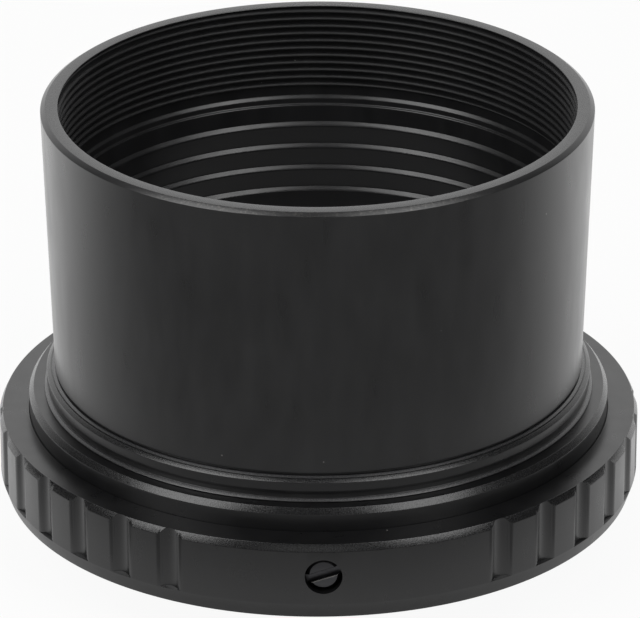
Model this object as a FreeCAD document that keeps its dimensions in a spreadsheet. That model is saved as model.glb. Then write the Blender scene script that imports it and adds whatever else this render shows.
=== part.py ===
"""T-mount adapter: camera bayonet, T ring in a scalloped grip ring, and a two-inch nosepiece.

Millimetres, +Z up along the light path. The origin is on the optical axis in the plane of the bayonet tube's
lower end, which the adapter stands on. Azimuths turn about +Z from -Y, the side that faces the viewer.
"""
import FreeCAD, Part
import Sketcher
import os
from types import SimpleNamespace

FRONT = -90.0
FULL_TURN = 360.0
LEAST_CHANGE = 1e-6

DRIVING_SIZES = {
    # Camera side: flange plate with its bayonet tube and lugs
    "BayonetDepth": 3.9,
    "FlangeThickness": 1.4,
    "FlangeRim": 1.93,
    "TubeRadius": 21.9,
    "TubeWall": 1.3,
    "LugReach": 1.5,
    "LugThickness": 1.1,
    "LugDrop": 2.05,
    "LugAngle": 56.0,
    "LugCount": 3,
    "KeyLugAngle": 68.0,
    "LugAzimuth": 20.0,
    "LockHoleRadius": 1.7,
    "LockHoleAzimuth": 98.0,
    # Countersunk screws that hold the plate
    "PlateScrewCount": 4,
    "PlateScrewAzimuth": 53.0,
    "PlateScrewRadius": 1.0,
    "PlateScrewHead": 1.85,
    "PlateScrewLength": 2.5,
    # Grip ring
    "GripWall": 2.75,
    "GripHeight": 7.4,
    "GripTopEdge": 0.33,
    "GripTopEdgeHeight": 0.67,
    "GripFootEdge": 0.5,
    "GripFootEdgeHeight": 1.46,
    "ShelfThickness": 1.4,
    "ShelfGap": 0.7,
    "PadCount": 3,
    "PadAzimuth": 3.3,
    "ScallopsPerSide": 7,
    "ScallopPitch": 10.0,
    "ScallopRadius": 1.5,
    "ScallopDepth": 0.4,
    # Set screws
    "SetScrewAzimuth": 0.8,
    "SetScrewRise": 1.47,
    "SetScrewRadius": 1.65,
    "SetScrewSunk": 0.47,
    "SetHoleEdge": 0.05,
    "SlotLength": 6.0,
    "SlotWidth": 0.85,
    "SlotDepth": 0.6,
    "SlotTilt": 18.0,
    "SlotTurn": 47.0,
    # T ring. The seat is 55 mm, the T flange distance, less a camera register of 45.46 mm
    "SeatHeight": 9.54,
    "TeeThreadRadius": 21.0,
    "TeeRingWall": 6.1,
    "TeeRingEdge": 0.45,
    "TeeRingEdgeHeight": 0.55,
    "GrooveDepth": 0.9,
    # Threaded collar
    "CollarHeight": 2.02,
    "CollarEdge": 0.37,
    "CollarEdgeHeight": 0.24,
    "TeeSpigotLength": 4.2,
    "TeeSpigotWall": 1.4,
    "BarrelSpigotLength": 3.6,
    "BarrelSpigotWall": 1.6,
    # Nosepiece barrel: a true band at the mouth and a slight taper from it to the foot
    "BarrelRadius": 25.4,
    "BarrelLength": 26.04,
    "BarrelBand": 3.2,
    "BarrelTaper": 0.78,
    "NeckWall": 1.4,
    "NeckCut": 0.22,
    "NeckCutHeight": 0.37,
    "NeckRelief": 0.3,
    "RimEdge": 0.32,
    "RimEdgeHeight": 0.2,
    "MouthWall": 1.4,
    "FilterThreadDepth": 9.25,
    "FilterThreadRunout": 1.03,
    "RidgeStep": 0.9,
    "RidgeCount": 4,
    "RidgePitch": 2.26,
    "RidgeDrop": 1.79,
    "RidgeDepth": 0.4,
    "RidgeBevel": 0.25,
    "RidgeLap": 0.15,
    # Clearances
    "RingClearance": 0.08,
    "ThreadClearance": 0.06,
    "ScrewClearance": 0.04,
    "PlateClearance": 0.05,
    "FaceClearance": 0.02,
    "PointClearance": 0.12,
}


class Size:
    """A size that holds its value and the expression that gives it from the spreadsheet."""

    def __init__(self, value, text):
        self.value = value
        self.text = text

    def __add__(self, other):
        other = as_size(other)
        return Size(self.value + other.value, f"({self.text} + {other.text})")

    def __sub__(self, other):
        other = as_size(other)
        return Size(self.value - other.value, f"({self.text} - {other.text})")

    def __mul__(self, other):
        other = as_size(other)
        return Size(self.value * other.value, f"({self.text} * {other.text})")

    def __truediv__(self, other):
        other = as_size(other)
        return Size(self.value / other.value, f"({self.text} / {other.text})")


def as_size(value):
    """The same size, or a plain number as one."""
    if isinstance(value, Size):
        return value
    return Size(float(value), repr(float(value)))


ZERO = as_size(0.0)


def make_sheet(doc):
    """Put the driving sizes in a spreadsheet and return them by name."""
    sheet = doc.addObject("Spreadsheet::Sheet", "Sizes")
    for row, (name, value) in enumerate(DRIVING_SIZES.items(), start=1):
        sheet.set(f"A{row}", name)
        sheet.set(f"B{row}", str(value))
        sheet.setAlias(f"B{row}", name)
    doc.recompute()
    sizes = {name: Size(float(value), f"Sizes.{name}") for name, value in DRIVING_SIZES.items()}
    return SimpleNamespace(**sizes)


def shared_sizes(s):
    """Radii and heights that several pieces share, worked out from the driving sizes."""
    tee_ring = s.TeeThreadRadius + s.TeeRingWall
    grip_bore = tee_ring + s.RingClearance
    grip = grip_bore + s.GripWall
    flange_edge = grip - s.FlangeRim
    shelf_bore = s.TubeRadius + s.ShelfGap
    filter_thread = s.BarrelRadius - s.MouthWall
    flange = s.BayonetDepth
    shelf_foot = flange + s.FlangeThickness
    shelf_top = shelf_foot + s.ShelfThickness
    set_screw = shelf_top + s.SetScrewRise
    tee_seat = flange + s.SeatHeight
    collar_foot = tee_seat + s.FaceClearance
    collar_top = collar_foot + s.CollarHeight
    barrel_foot = collar_top + s.FaceClearance
    groove_floor = tee_ring - s.GrooveDepth
    foot = s.BarrelRadius - s.BarrelTaper
    return SimpleNamespace(
        tube_bore=s.TubeRadius - s.TubeWall,
        lug_radius=s.TubeRadius + s.LugReach,
        flange_edge=flange_edge,
        recess=flange_edge + s.PlateClearance,
        shelf_bore=shelf_bore,
        plate_screw_circle=(shelf_bore + flange_edge) / 2,
        tee_bore=s.TeeThreadRadius + s.ThreadClearance,
        tee_ring=tee_ring,
        grip_bore=grip_bore,
        grip=grip,
        collar=s.BarrelRadius,
        foot=foot,
        neck_thread=foot - s.NeckWall,
        filter_thread=filter_thread,
        ridge_bore=filter_thread - s.RidgeStep,
        flange=flange,
        shelf_foot=shelf_foot,
        shelf_top=shelf_top,
        tee_foot=shelf_top + s.FaceClearance,
        tee_seat=tee_seat,
        collar_foot=collar_foot,
        collar_top=collar_top,
        barrel_foot=barrel_foot,
        barrel_top=barrel_foot + s.BarrelLength,
        set_screw=set_screw,
        groove_floor=groove_floor,
        set_screw_tip=groove_floor + s.PointClearance,
        set_screw_face=grip - s.SetScrewSunk,
        scallop_foot=flange + s.GripFootEdgeHeight,
    )


def make_body(doc, label):
    """An empty body with its own label."""
    body = doc.addObject("PartDesign::Body", label)
    body.Label = label
    return body


def origin_feature(body, role):
    """One of the body's own origin planes or axes."""
    return next(item for item in body.Origin.OriginFeatures if item.Role == role)


def new_sketch(body, name, role, lift=ZERO, turn=ZERO, turn_axis=(0, 0, 1)):
    """A sketch on one of the body's own planes, lifted off it and turned within it or about its upright."""
    sketch = body.newObject("Sketcher::SketchObject", f"{body.Label}_{name}")
    sketch.AttachmentSupport = [(origin_feature(body, role), "")]
    sketch.MapMode = "FlatFace"
    sketch.AttachmentOffset = FreeCAD.Placement(
        FreeCAD.Vector(0, 0, lift.value), FreeCAD.Rotation(FreeCAD.Vector(*turn_axis), turn.value))
    if lift is not ZERO:
        sketch.setExpression("AttachmentOffset.Base.z", lift.text)
    if turn is not ZERO:
        sketch.setExpression("AttachmentOffset.Rotation.Angle", turn.text)
    return sketch


def hold_point(sketch, line, across, up):
    """Tie the start of a line to two sizes, or to the axis where a size is nothing."""
    for kind, axis, label, size in (("DistanceX", -2, "across", across), ("DistanceY", -1, "up", up)):
        if size is ZERO:
            sketch.addConstraint(Sketcher.Constraint("PointOnObject", line, 1, axis))
            continue
        index = sketch.addConstraint(Sketcher.Constraint(kind, -1, 1, line, 1, size.value))
        sketch.renameConstraint(index, f"{label}_{line}")
        sketch.setExpression(f"Constraints.{label}_{line}", size.text)


def draw_outline(sketch, points):
    """Draw a closed outline of straight lines through points given as pairs of sizes."""
    corners = [FreeCAD.Vector(across.value, up.value, 0) for across, up in points]
    count = len(corners)
    for index in range(count):
        sketch.addGeometry(Part.LineSegment(corners[index], corners[(index + 1) % count]), False)
    for index in range(count):
        sketch.addConstraint(Sketcher.Constraint("Coincident", index, 2, (index + 1) % count, 1))
    for index, (across, up) in enumerate(points):
        hold_point(sketch, index, across, up)


def draw_circle(sketch, across, up, radius):
    """Draw a circle whose centre and radius are sizes."""
    centre = FreeCAD.Vector(across.value, up.value, 0)
    sketch.addGeometry(Part.Circle(centre, FreeCAD.Vector(0, 0, 1), radius.value), False)
    for kind, axis, label, size in (("DistanceX", -2, "across", across), ("DistanceY", -1, "up", up)):
        if size is ZERO:
            sketch.addConstraint(Sketcher.Constraint("PointOnObject", 0, 3, axis))
            continue
        index = sketch.addConstraint(Sketcher.Constraint(kind, -1, 1, 0, 3, size.value))
        sketch.renameConstraint(index, label)
        sketch.setExpression(f"Constraints.{label}", size.text)
    index = sketch.addConstraint(Sketcher.Constraint("Radius", 0, radius.value))
    sketch.renameConstraint(index, "radius")
    sketch.setExpression("Constraints.radius", radius.text)


def revolve(body, sketch, kind="PartDesign::Revolution", axis="V_Axis", angle=None):
    """Turn a sketch about one of its axes, all round or through an angle centred on its plane."""
    feature = body.newObject(kind, f"{sketch.Name}_turned")
    feature.Profile = sketch
    feature.ReferenceAxis = (sketch, [axis])
    feature.Angle = FULL_TURN
    if angle is not None:
        feature.Midplane = True
        feature.setExpression("Angle", angle.text)
    sketch.Visibility = False
    return feature


def pocket(body, sketch, depth, upward=False):
    """Cut a sketch away, against its plane's normal or along it."""
    feature = body.newObject("PartDesign::Pocket", f"{sketch.Name}_cut")
    feature.Profile = sketch
    feature.Type = "Length"
    feature.Reversed = upward
    feature.Length = depth.value
    feature.setExpression("Length", depth.text)
    sketch.Visibility = False
    return feature


def polar_pattern(body, originals, count, angle=None):
    """Repeat features about the light path, all round or over an angle."""
    feature = body.newObject("PartDesign::PolarPattern", f"{originals[0].Name}_round")
    feature.Originals = originals
    feature.Axis = (origin_feature(body, "Z_Axis"), [""])
    feature.Angle = FULL_TURN if angle is None else angle.value
    if angle is not None:
        feature.setExpression("Angle", angle.text)
    feature.setExpression("Occurrences", count.text)
    body.Tip = feature
    return feature


def linear_pattern(body, originals, count, length):
    """Repeat features downwards along the light path."""
    feature = body.newObject("PartDesign::LinearPattern", f"{originals[0].Name}_row")
    feature.Originals = originals
    feature.Direction = (origin_feature(body, "Z_Axis"), [""])
    feature.Reversed = True
    feature.Length = length.value
    feature.setExpression("Length", length.text)
    feature.setExpression("Occurrences", count.text)
    body.Tip = feature
    return feature


def around(azimuth):
    """The turn about +Z from +X that faces an azimuth."""
    return azimuth + FRONT


def upright_sketch(body, name, azimuth=None):
    """A sketch that stands on the light path: across is the radius and up is the height."""
    if azimuth is None:
        return new_sketch(body, name, "XZ_Plane")
    return new_sketch(body, name, "XZ_Plane", turn=around(azimuth), turn_axis=(0, 1, 0))


def make_bayonet_plate(doc, s, at):
    """Flange plate, bayonet tube and three lugs, turned and milled from one piece."""
    body = make_body(doc, "bayonet_plate")
    section = upright_sketch(body, "section")
    draw_outline(section, [
        (at.tube_bore, ZERO),
        (s.TubeRadius, ZERO),
        (s.TubeRadius, at.flange),
        (at.flange_edge, at.flange),
        (at.flange_edge, at.shelf_foot),
        (at.tube_bore, at.shelf_foot),
    ])
    revolve(body, section)
    polar_pattern(body, [make_lug(body, "lug", s.LugAngle, s, at)], s.LugCount)
    make_lug(body, "key_lug", s.KeyLugAngle, s, at)

    hole = upright_sketch(body, "screw_hole", s.PlateScrewAzimuth)
    shank = s.PlateScrewRadius + s.ScrewClearance
    head = s.PlateScrewHead + s.ScrewClearance
    draw_outline(hole, [
        (at.plate_screw_circle, at.flange),
        (at.plate_screw_circle + head, at.flange),
        (at.plate_screw_circle + shank, at.flange + head - shank),
        (at.plate_screw_circle + shank, at.shelf_foot),
        (at.plate_screw_circle, at.shelf_foot),
    ])
    drilled = revolve(body, hole, kind="PartDesign::Groove", axis=upright_axis(hole, 0, 4))
    polar_pattern(body, [drilled], s.PlateScrewCount)

    lock = new_sketch(body, "lock_hole", "XY_Plane", lift=at.flange, turn=around(s.LockHoleAzimuth))
    draw_circle(lock, at.plate_screw_circle, ZERO, s.LockHoleRadius)
    pocket(body, lock, s.FlangeThickness, upward=True)
    return body


def make_lug(body, name, angle, s, at):
    """A bayonet lug that stands out of the tube's wall through an angle."""
    sketch = upright_sketch(body, name, s.LugAzimuth)
    root = s.TubeRadius - s.TubeWall / 2
    top = at.flange - s.LugDrop
    foot = top - s.LugThickness
    draw_outline(sketch, [
        (root, foot),
        (at.lug_radius, foot),
        (at.lug_radius, top),
        (root, top),
    ])
    return revolve(body, sketch, angle=angle)


def upright_axis(sketch, foot, top):
    """A line of construction between the starts of two of a sketch's lines, as an axis to turn about."""
    ends = [sketch.Geometry[index].StartPoint for index in (foot, top)]
    line = sketch.addGeometry(Part.LineSegment(*ends), True)
    sketch.addConstraint(Sketcher.Constraint("Coincident", line, 1, foot, 1))
    sketch.addConstraint(Sketcher.Constraint("Coincident", line, 2, top, 1))
    return "Axis0"


def make_grip_ring(doc, s, at):
    """Outer ring: shelf and recess inside, chamfered top edge, scallops and set screw holes outside."""
    body = make_body(doc, "grip_ring")
    top = at.flange + s.GripHeight
    section = upright_sketch(body, "section")
    draw_outline(section, [
        (at.recess, at.flange),
        (at.grip - s.GripFootEdge, at.flange),
        (at.grip, at.flange + s.GripFootEdgeHeight),
        (at.grip, top - s.GripTopEdgeHeight),
        (at.grip - s.GripTopEdge, top),
        (at.grip_bore, top),
        (at.grip_bore, at.shelf_top),
        (at.shelf_bore, at.shelf_top),
        (at.shelf_bore, at.shelf_foot),
        (at.recess, at.shelf_foot),
    ])
    revolve(body, section)

    sweep = (s.ScallopsPerSide - 1) * s.ScallopPitch
    first = s.PadAzimuth + (as_size(FULL_TURN) / s.PadCount - sweep) / 2
    scallop = new_sketch(body, "scallop", "XY_Plane", lift=at.scallop_foot, turn=around(first))
    draw_circle(scallop, at.grip - s.ScallopDepth + s.ScallopRadius, ZERO, s.ScallopRadius)
    cut = pocket(body, scallop, s.GripHeight, upward=True)
    repeat_scallops(body, cut, s, sweep)

    hole = new_sketch(body, "set_hole", "XY_Plane", lift=at.set_screw, turn=around(s.SetScrewAzimuth))
    radius = s.SetScrewRadius + s.ScrewClearance
    draw_outline(hole, [
        (at.tee_ring, ZERO),
        (at.tee_ring, radius),
        (at.grip - s.SetHoleEdge, radius),
        (at.grip + s.SetHoleEdge, radius + s.SetHoleEdge * 2),
        (at.grip + s.SetHoleEdge, ZERO),
    ])
    drilled = revolve(body, hole, kind="PartDesign::Groove", axis="H_Axis")
    polar_pattern(body, [drilled], s.PadCount)

    tapped = new_sketch(body, "plate_hole", "XY_Plane", lift=at.shelf_foot, turn=around(s.PlateScrewAzimuth))
    draw_circle(tapped, at.plate_screw_circle, ZERO, s.PlateScrewRadius + s.ScrewClearance)
    polar_pattern(body, [pocket(body, tapped, s.ShelfThickness, upward=True)], s.PlateScrewCount)
    return body


def repeat_scallops(body, cut, s, sweep):
    """Repeat one scallop along a side, and that side between each pair of plain pads."""
    along = body.newObject("PartDesign::PolarPattern", "scallops_along_side")
    sides = body.newObject("PartDesign::PolarPattern", "scalloped_sides")
    every = body.newObject("PartDesign::MultiTransform", "scallops")
    for pattern in (along, sides):
        pattern.Axis = (origin_feature(body, "Z_Axis"), [""])
    along.Angle = sweep.value
    along.setExpression("Angle", sweep.text)
    along.setExpression("Occurrences", s.ScallopsPerSide.text)
    sides.Angle = FULL_TURN
    sides.setExpression("Occurrences", s.PadCount.text)
    every.Originals = [cut]
    every.Transformations = [along, sides]
    body.Tip = every


def make_t_ring(doc, s, at):
    """Inner ring: T thread bore, chamfered edge and the V groove that the set screws bite into."""
    body = make_body(doc, "t_ring")
    section = upright_sketch(body, "section")
    draw_outline(section, [
        (at.tee_bore, at.tee_foot),
        (at.tee_ring, at.tee_foot),
        (at.tee_ring, at.set_screw - s.GrooveDepth),
        (at.groove_floor, at.set_screw),
        (at.tee_ring, at.set_screw + s.GrooveDepth),
        (at.tee_ring, at.tee_seat - s.TeeRingEdgeHeight),
        (at.tee_ring - s.TeeRingEdge, at.tee_seat),
        (at.tee_bore, at.tee_seat),
    ])
    revolve(body, section)
    return body


def make_thread_collar(doc, s, at):
    """Collar with a T thread below, a thread up into the barrel, and a coned light path."""
    body = make_body(doc, "thread_collar")
    tee_spigot_bore = s.TeeThreadRadius - s.TeeSpigotWall
    barrel_spigot_bore = at.neck_thread - s.BarrelSpigotWall
    spigot_foot = at.collar_foot - s.TeeSpigotLength
    spigot_top = at.collar_top + s.BarrelSpigotLength
    section = upright_sketch(body, "section")
    draw_outline(section, [
        (tee_spigot_bore, spigot_foot),
        (s.TeeThreadRadius, spigot_foot),
        (s.TeeThreadRadius, at.collar_foot),
        (at.collar, at.collar_foot),
        (at.collar, at.collar_top - s.CollarEdgeHeight),
        (at.collar - s.CollarEdge, at.collar_top),
        (at.neck_thread, at.collar_top),
        (at.neck_thread, spigot_top),
        (barrel_spigot_bore, spigot_top),
        (tee_spigot_bore, at.collar_foot),
    ])
    revolve(body, section)
    return body


def make_nosepiece_barrel(doc, s, at):
    """Two-inch barrel with a slight taper: filter thread in the mouth, ridges below it, threaded foot."""
    body = make_body(doc, "nosepiece_barrel")
    neck = at.foot - s.NeckCut
    neck_top = at.barrel_foot + s.NeckCutHeight
    foot_bore = at.neck_thread + s.ThreadClearance
    foot_bore_top = at.barrel_foot + s.BarrelSpigotLength + s.NeckRelief
    thread_end = at.barrel_top - s.FilterThreadDepth
    runout_end = thread_end - s.FilterThreadRunout
    section = upright_sketch(body, "section")
    draw_outline(section, [
        (foot_bore, at.barrel_foot),
        (neck, at.barrel_foot),
        (neck, neck_top),
        (at.foot, neck_top),
        (s.BarrelRadius, at.barrel_top - s.BarrelBand),
        (s.BarrelRadius, at.barrel_top - s.RimEdgeHeight),
        (s.BarrelRadius - s.RimEdge, at.barrel_top),
        (at.filter_thread, at.barrel_top),
        (at.filter_thread, thread_end),
        (at.ridge_bore, runout_end),
        (at.ridge_bore, foot_bore_top),
        (foot_bore, foot_bore_top),
    ])
    revolve(body, section)

    ledge = runout_end - s.RidgeDrop
    taper = s.RidgePitch + s.RidgeLap
    ridge = upright_sketch(body, "ridge")
    draw_outline(ridge, [
        (at.ridge_bore - s.RidgeDepth, ledge - s.RidgeBevel),
        (at.ridge_bore + s.RidgeDepth, ledge + s.RidgeBevel),
        (at.ridge_bore - s.RidgeDepth, ledge + taper * 2 - s.RidgeBevel),
    ])
    groove = revolve(body, ridge, kind="PartDesign::Groove")
    linear_pattern(body, [groove], s.RidgeCount, (s.RidgeCount - 1) * s.RidgePitch)
    return body


def slot_points(length, width):
    """Corners of a slot centred on its sketch."""
    across = length / 2
    up = width / 2
    return [
        (ZERO - across, ZERO - up),
        (across, ZERO - up),
        (across, up),
        (ZERO - across, up),
    ]


def make_plate_screw(doc, s, at, index):
    """Countersunk screw, upright in the plate from below."""
    body = make_body(doc, f"plate_screw_{index + 1}")
    section = upright_sketch(body, "section")
    draw_outline(section, [
        (ZERO, ZERO),
        (s.PlateScrewHead, ZERO),
        (s.PlateScrewRadius, s.PlateScrewHead - s.PlateScrewRadius),
        (s.PlateScrewRadius, s.PlateScrewLength),
        (ZERO, s.PlateScrewLength),
    ])
    revolve(body, section)
    azimuth = around(s.PlateScrewAzimuth + as_size(FULL_TURN) / s.PlateScrewCount * index)
    body.setExpression("Placement.Base.x", f"{at.plate_screw_circle.text} * cos({azimuth.text})")
    body.setExpression("Placement.Base.y", f"{at.plate_screw_circle.text} * sin({azimuth.text})")
    body.setExpression("Placement.Base.z", (at.flange + s.FaceClearance).text)
    return body


def make_set_screw(doc, s, at, index):
    """Slotted set screw with a cone point, lying along its own radius."""
    body = make_body(doc, f"set_screw_{index + 1}")
    section = new_sketch(body, "section", "XY_Plane")
    draw_outline(section, [
        (at.set_screw_tip, ZERO),
        (at.set_screw_tip + s.SetScrewRadius, s.SetScrewRadius),
        (at.set_screw_face, s.SetScrewRadius),
        (at.set_screw_face, ZERO),
    ])
    revolve(body, section, axis="H_Axis")
    slot = new_sketch(body, "slot", "YZ_Plane", lift=at.set_screw_face,
                      turn=s.SlotTilt + s.SlotTurn * index)
    draw_outline(slot, slot_points(s.SlotLength, s.SlotWidth))
    pocket(body, slot, s.SlotDepth)

    azimuth = around(s.SetScrewAzimuth + as_size(FULL_TURN) / s.PadCount * index)
    body.Placement = FreeCAD.Placement(FreeCAD.Vector(0, 0, at.set_screw.value),
                                       FreeCAD.Rotation(FreeCAD.Vector(0, 0, 1), azimuth.value))
    body.setExpression("Placement.Base.z", at.set_screw.text)
    body.setExpression("Placement.Rotation.Angle", azimuth.text)
    return body


def check_document(doc, bodies):
    """Stop unless every object is sound and every cut or addition changed its piece."""
    for item in doc.Objects:
        if "Invalid" in item.State or "Error" in item.State:
            raise RuntimeError(f"{item.Label}: {item.State}")
    for body in bodies:
        shape = body.Shape
        if shape.isNull() or not shape.isValid() or len(shape.Solids) != 1:
            raise RuntimeError(f"{body.Label}: not one valid solid")
        print(f"{body.Label}: {shape.Volume:.1f} mm3, {len(shape.Faces)} faces")
        check_features(body)


def check_features(body):
    """Stop where a feature of a body left its volume as it was."""
    last = 0.0
    for feature in body.Group:
        if not hasattr(feature, "Shape") or feature.TypeId.startswith("Sketcher"):
            continue
        if feature.TypeId == "PartDesign::PolarPattern" and not feature.Originals:
            continue
        volume = feature.Shape.Volume
        if abs(volume - last) < LEAST_CHANGE:
            raise RuntimeError(f"{feature.Label}: changes nothing")
        last = volume


def build():
    """Make the document, check it and write each piece to its own file."""
    doc = FreeCAD.newDocument("t_mount_adapter")
    s = make_sheet(doc)
    at = shared_sizes(s)
    bodies = [
        make_bayonet_plate(doc, s, at),
        make_grip_ring(doc, s, at),
        make_t_ring(doc, s, at),
        make_thread_collar(doc, s, at),
        make_nosepiece_barrel(doc, s, at),
    ]
    for index in range(int(s.PlateScrewCount.value)):
        bodies.append(make_plate_screw(doc, s, at, index))
    for index in range(int(s.PadCount.value)):
        bodies.append(make_set_screw(doc, s, at, index))
    doc.recompute()
    check_document(doc, bodies)
    os.makedirs("parts", exist_ok=True)
    for body in bodies:
        body.Shape.exportStep(f"parts/{body.Label}.step")


build()
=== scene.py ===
"""T-mount adapter with a two-inch nosepiece, finished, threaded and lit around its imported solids.

Sizes are millimetres in the classes and metres in the meshes. +Z runs up the light path from the camera side
to the mouth, and azimuths turn about it from -Y, the side that the picture is taken from.
"""
from __future__ import annotations

import logging
import math
from dataclasses import dataclass
from enum import Enum, IntEnum

import bmesh
import bpy
from mathutils import Matrix, Quaternion, Vector

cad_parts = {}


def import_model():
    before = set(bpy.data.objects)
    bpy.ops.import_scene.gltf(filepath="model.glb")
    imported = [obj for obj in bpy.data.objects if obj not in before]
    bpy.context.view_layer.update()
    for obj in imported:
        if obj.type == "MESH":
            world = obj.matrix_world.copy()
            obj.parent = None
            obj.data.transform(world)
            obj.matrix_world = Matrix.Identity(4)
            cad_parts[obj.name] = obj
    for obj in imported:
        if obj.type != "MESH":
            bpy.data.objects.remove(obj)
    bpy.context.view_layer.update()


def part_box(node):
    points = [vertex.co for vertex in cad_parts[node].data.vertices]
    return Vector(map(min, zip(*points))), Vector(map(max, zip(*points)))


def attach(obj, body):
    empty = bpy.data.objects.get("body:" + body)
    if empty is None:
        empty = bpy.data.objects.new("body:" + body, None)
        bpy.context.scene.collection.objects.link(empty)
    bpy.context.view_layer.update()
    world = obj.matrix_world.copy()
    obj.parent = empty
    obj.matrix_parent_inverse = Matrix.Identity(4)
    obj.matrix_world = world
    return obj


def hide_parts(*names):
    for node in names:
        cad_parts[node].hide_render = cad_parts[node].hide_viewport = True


MM = 0.001
FRONT = -90.0
SEGMENTS = 360
TOOL_SEGMENTS = 96
WHITE = "ffffff"
OXIDE_IOR = 1.62
SAME_POINT = 1e-8
LOG = logging.getLogger("t_mount_adapter")

# A node's inputs: by name or number, or in order.
Inputs = dict[str | int, object] | tuple[object, ...]

# The kinds of node that the trees use most, and the settings of a cut.
MATH = "ShaderNodeMath"
VECTOR = "ShaderNodeCombineXYZ"
CYLINDER = "GeometryNodeMeshCylinder"
BLOCK = "GeometryNodeMeshCube"
MOVED = "GeometryNodeTransform"
DRESSED = "GeometryNodeSetMaterial"
BOOLEAN = "GeometryNodeMeshBoolean"
CUT = {"operation": "DIFFERENCE", "solver": "EXACT"}


def linear(colour: str) -> tuple[float, float, float, float]:
    """Turn an sRGB hex colour into the linear values that a socket takes.

    Args:
        colour: Six hex digits, such as "1b1b1c".

    Returns:
        Red, green, blue and an alpha of one.
    """
    channels = [int(colour[start:start + 2], 16) / 255 for start in (0, 2, 4)]
    red, green, blue = (c / 12.92 if c <= 0.04045 else ((c + 0.055) / 1.055) ** 2.4 for c in channels)
    return red, green, blue, 1.0


def per_metre(size: float) -> float:
    """The texture scale at which one cell of a pattern is this many millimetres wide."""
    return 1 / (size * MM)


def add_node(tree: bpy.types.NodeTree, kind: str, inputs: Inputs | None = None,
             **settings: object) -> bpy.types.Node:
    """Add a node with its settings, and set or link its inputs.

    Args:
        tree: The tree that the node goes into.
        kind: The node's type name.
        inputs: Values, or the outputs that feed the inputs, by the inputs' name or number or in order.
        settings: The node's own properties.

    Returns:
        The new node.
    """
    node = tree.nodes.new(kind)
    for name, value in settings.items():
        setattr(node, name, value)
    given = dict(enumerate(inputs)) if isinstance(inputs, tuple) else inputs or {}
    for key, value in given.items():
        for one in value if isinstance(value, list) else [value]:
            if isinstance(one, bpy.types.NodeSocket):
                tree.links.new(one, node.inputs[key])
            else:
                node.inputs[key].default_value = one
    return node


# Finishes


@dataclass(frozen=True)
class Finish:
    """A surface finish, made once as a material and shared by the pieces that have it."""

    name: str

    def material(self) -> bpy.types.Material:
        """The finish's material, built when it is first asked for.

        Returns:
            The material.
        """
        found = bpy.data.materials.get(self.name)
        if found is None:
            found = bpy.data.materials.new(self.name)
            found.use_nodes = True
            found.node_tree.nodes.clear()
            shader = self.shade(found.node_tree)
            add_node(found.node_tree, "ShaderNodeOutputMaterial", {"Surface": shader})
        return found

    def shade(self, tree: bpy.types.NodeTree) -> bpy.types.NodeSocket:
        """Build the finish in a material's tree.

        Args:
            tree: The empty tree.

        Returns:
            The shader output.
        """
        raise NotImplementedError


def lathe_coordinates(tree: bpy.types.NodeTree) -> tuple[bpy.types.NodeSocket, bpy.types.NodeSocket]:
    """Coordinates of a surface turned about the light path.

    Args:
        tree: The material's tree.

    Returns:
        The plain position, and a vector of radius and height that is the same all the way round.
    """
    place = add_node(tree, "ShaderNodeTexCoord").outputs["Object"]
    parts = add_node(tree, "ShaderNodeSeparateXYZ", {0: place})
    flat = add_node(tree, VECTOR, (parts.outputs[0], parts.outputs[1]))
    radius = add_node(tree, "ShaderNodeVectorMath", {0: flat.outputs[0]}, operation="LENGTH")
    turned = add_node(tree, VECTOR, (radius.outputs["Value"], parts.outputs[2]))
    return place, turned.outputs[0]


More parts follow.
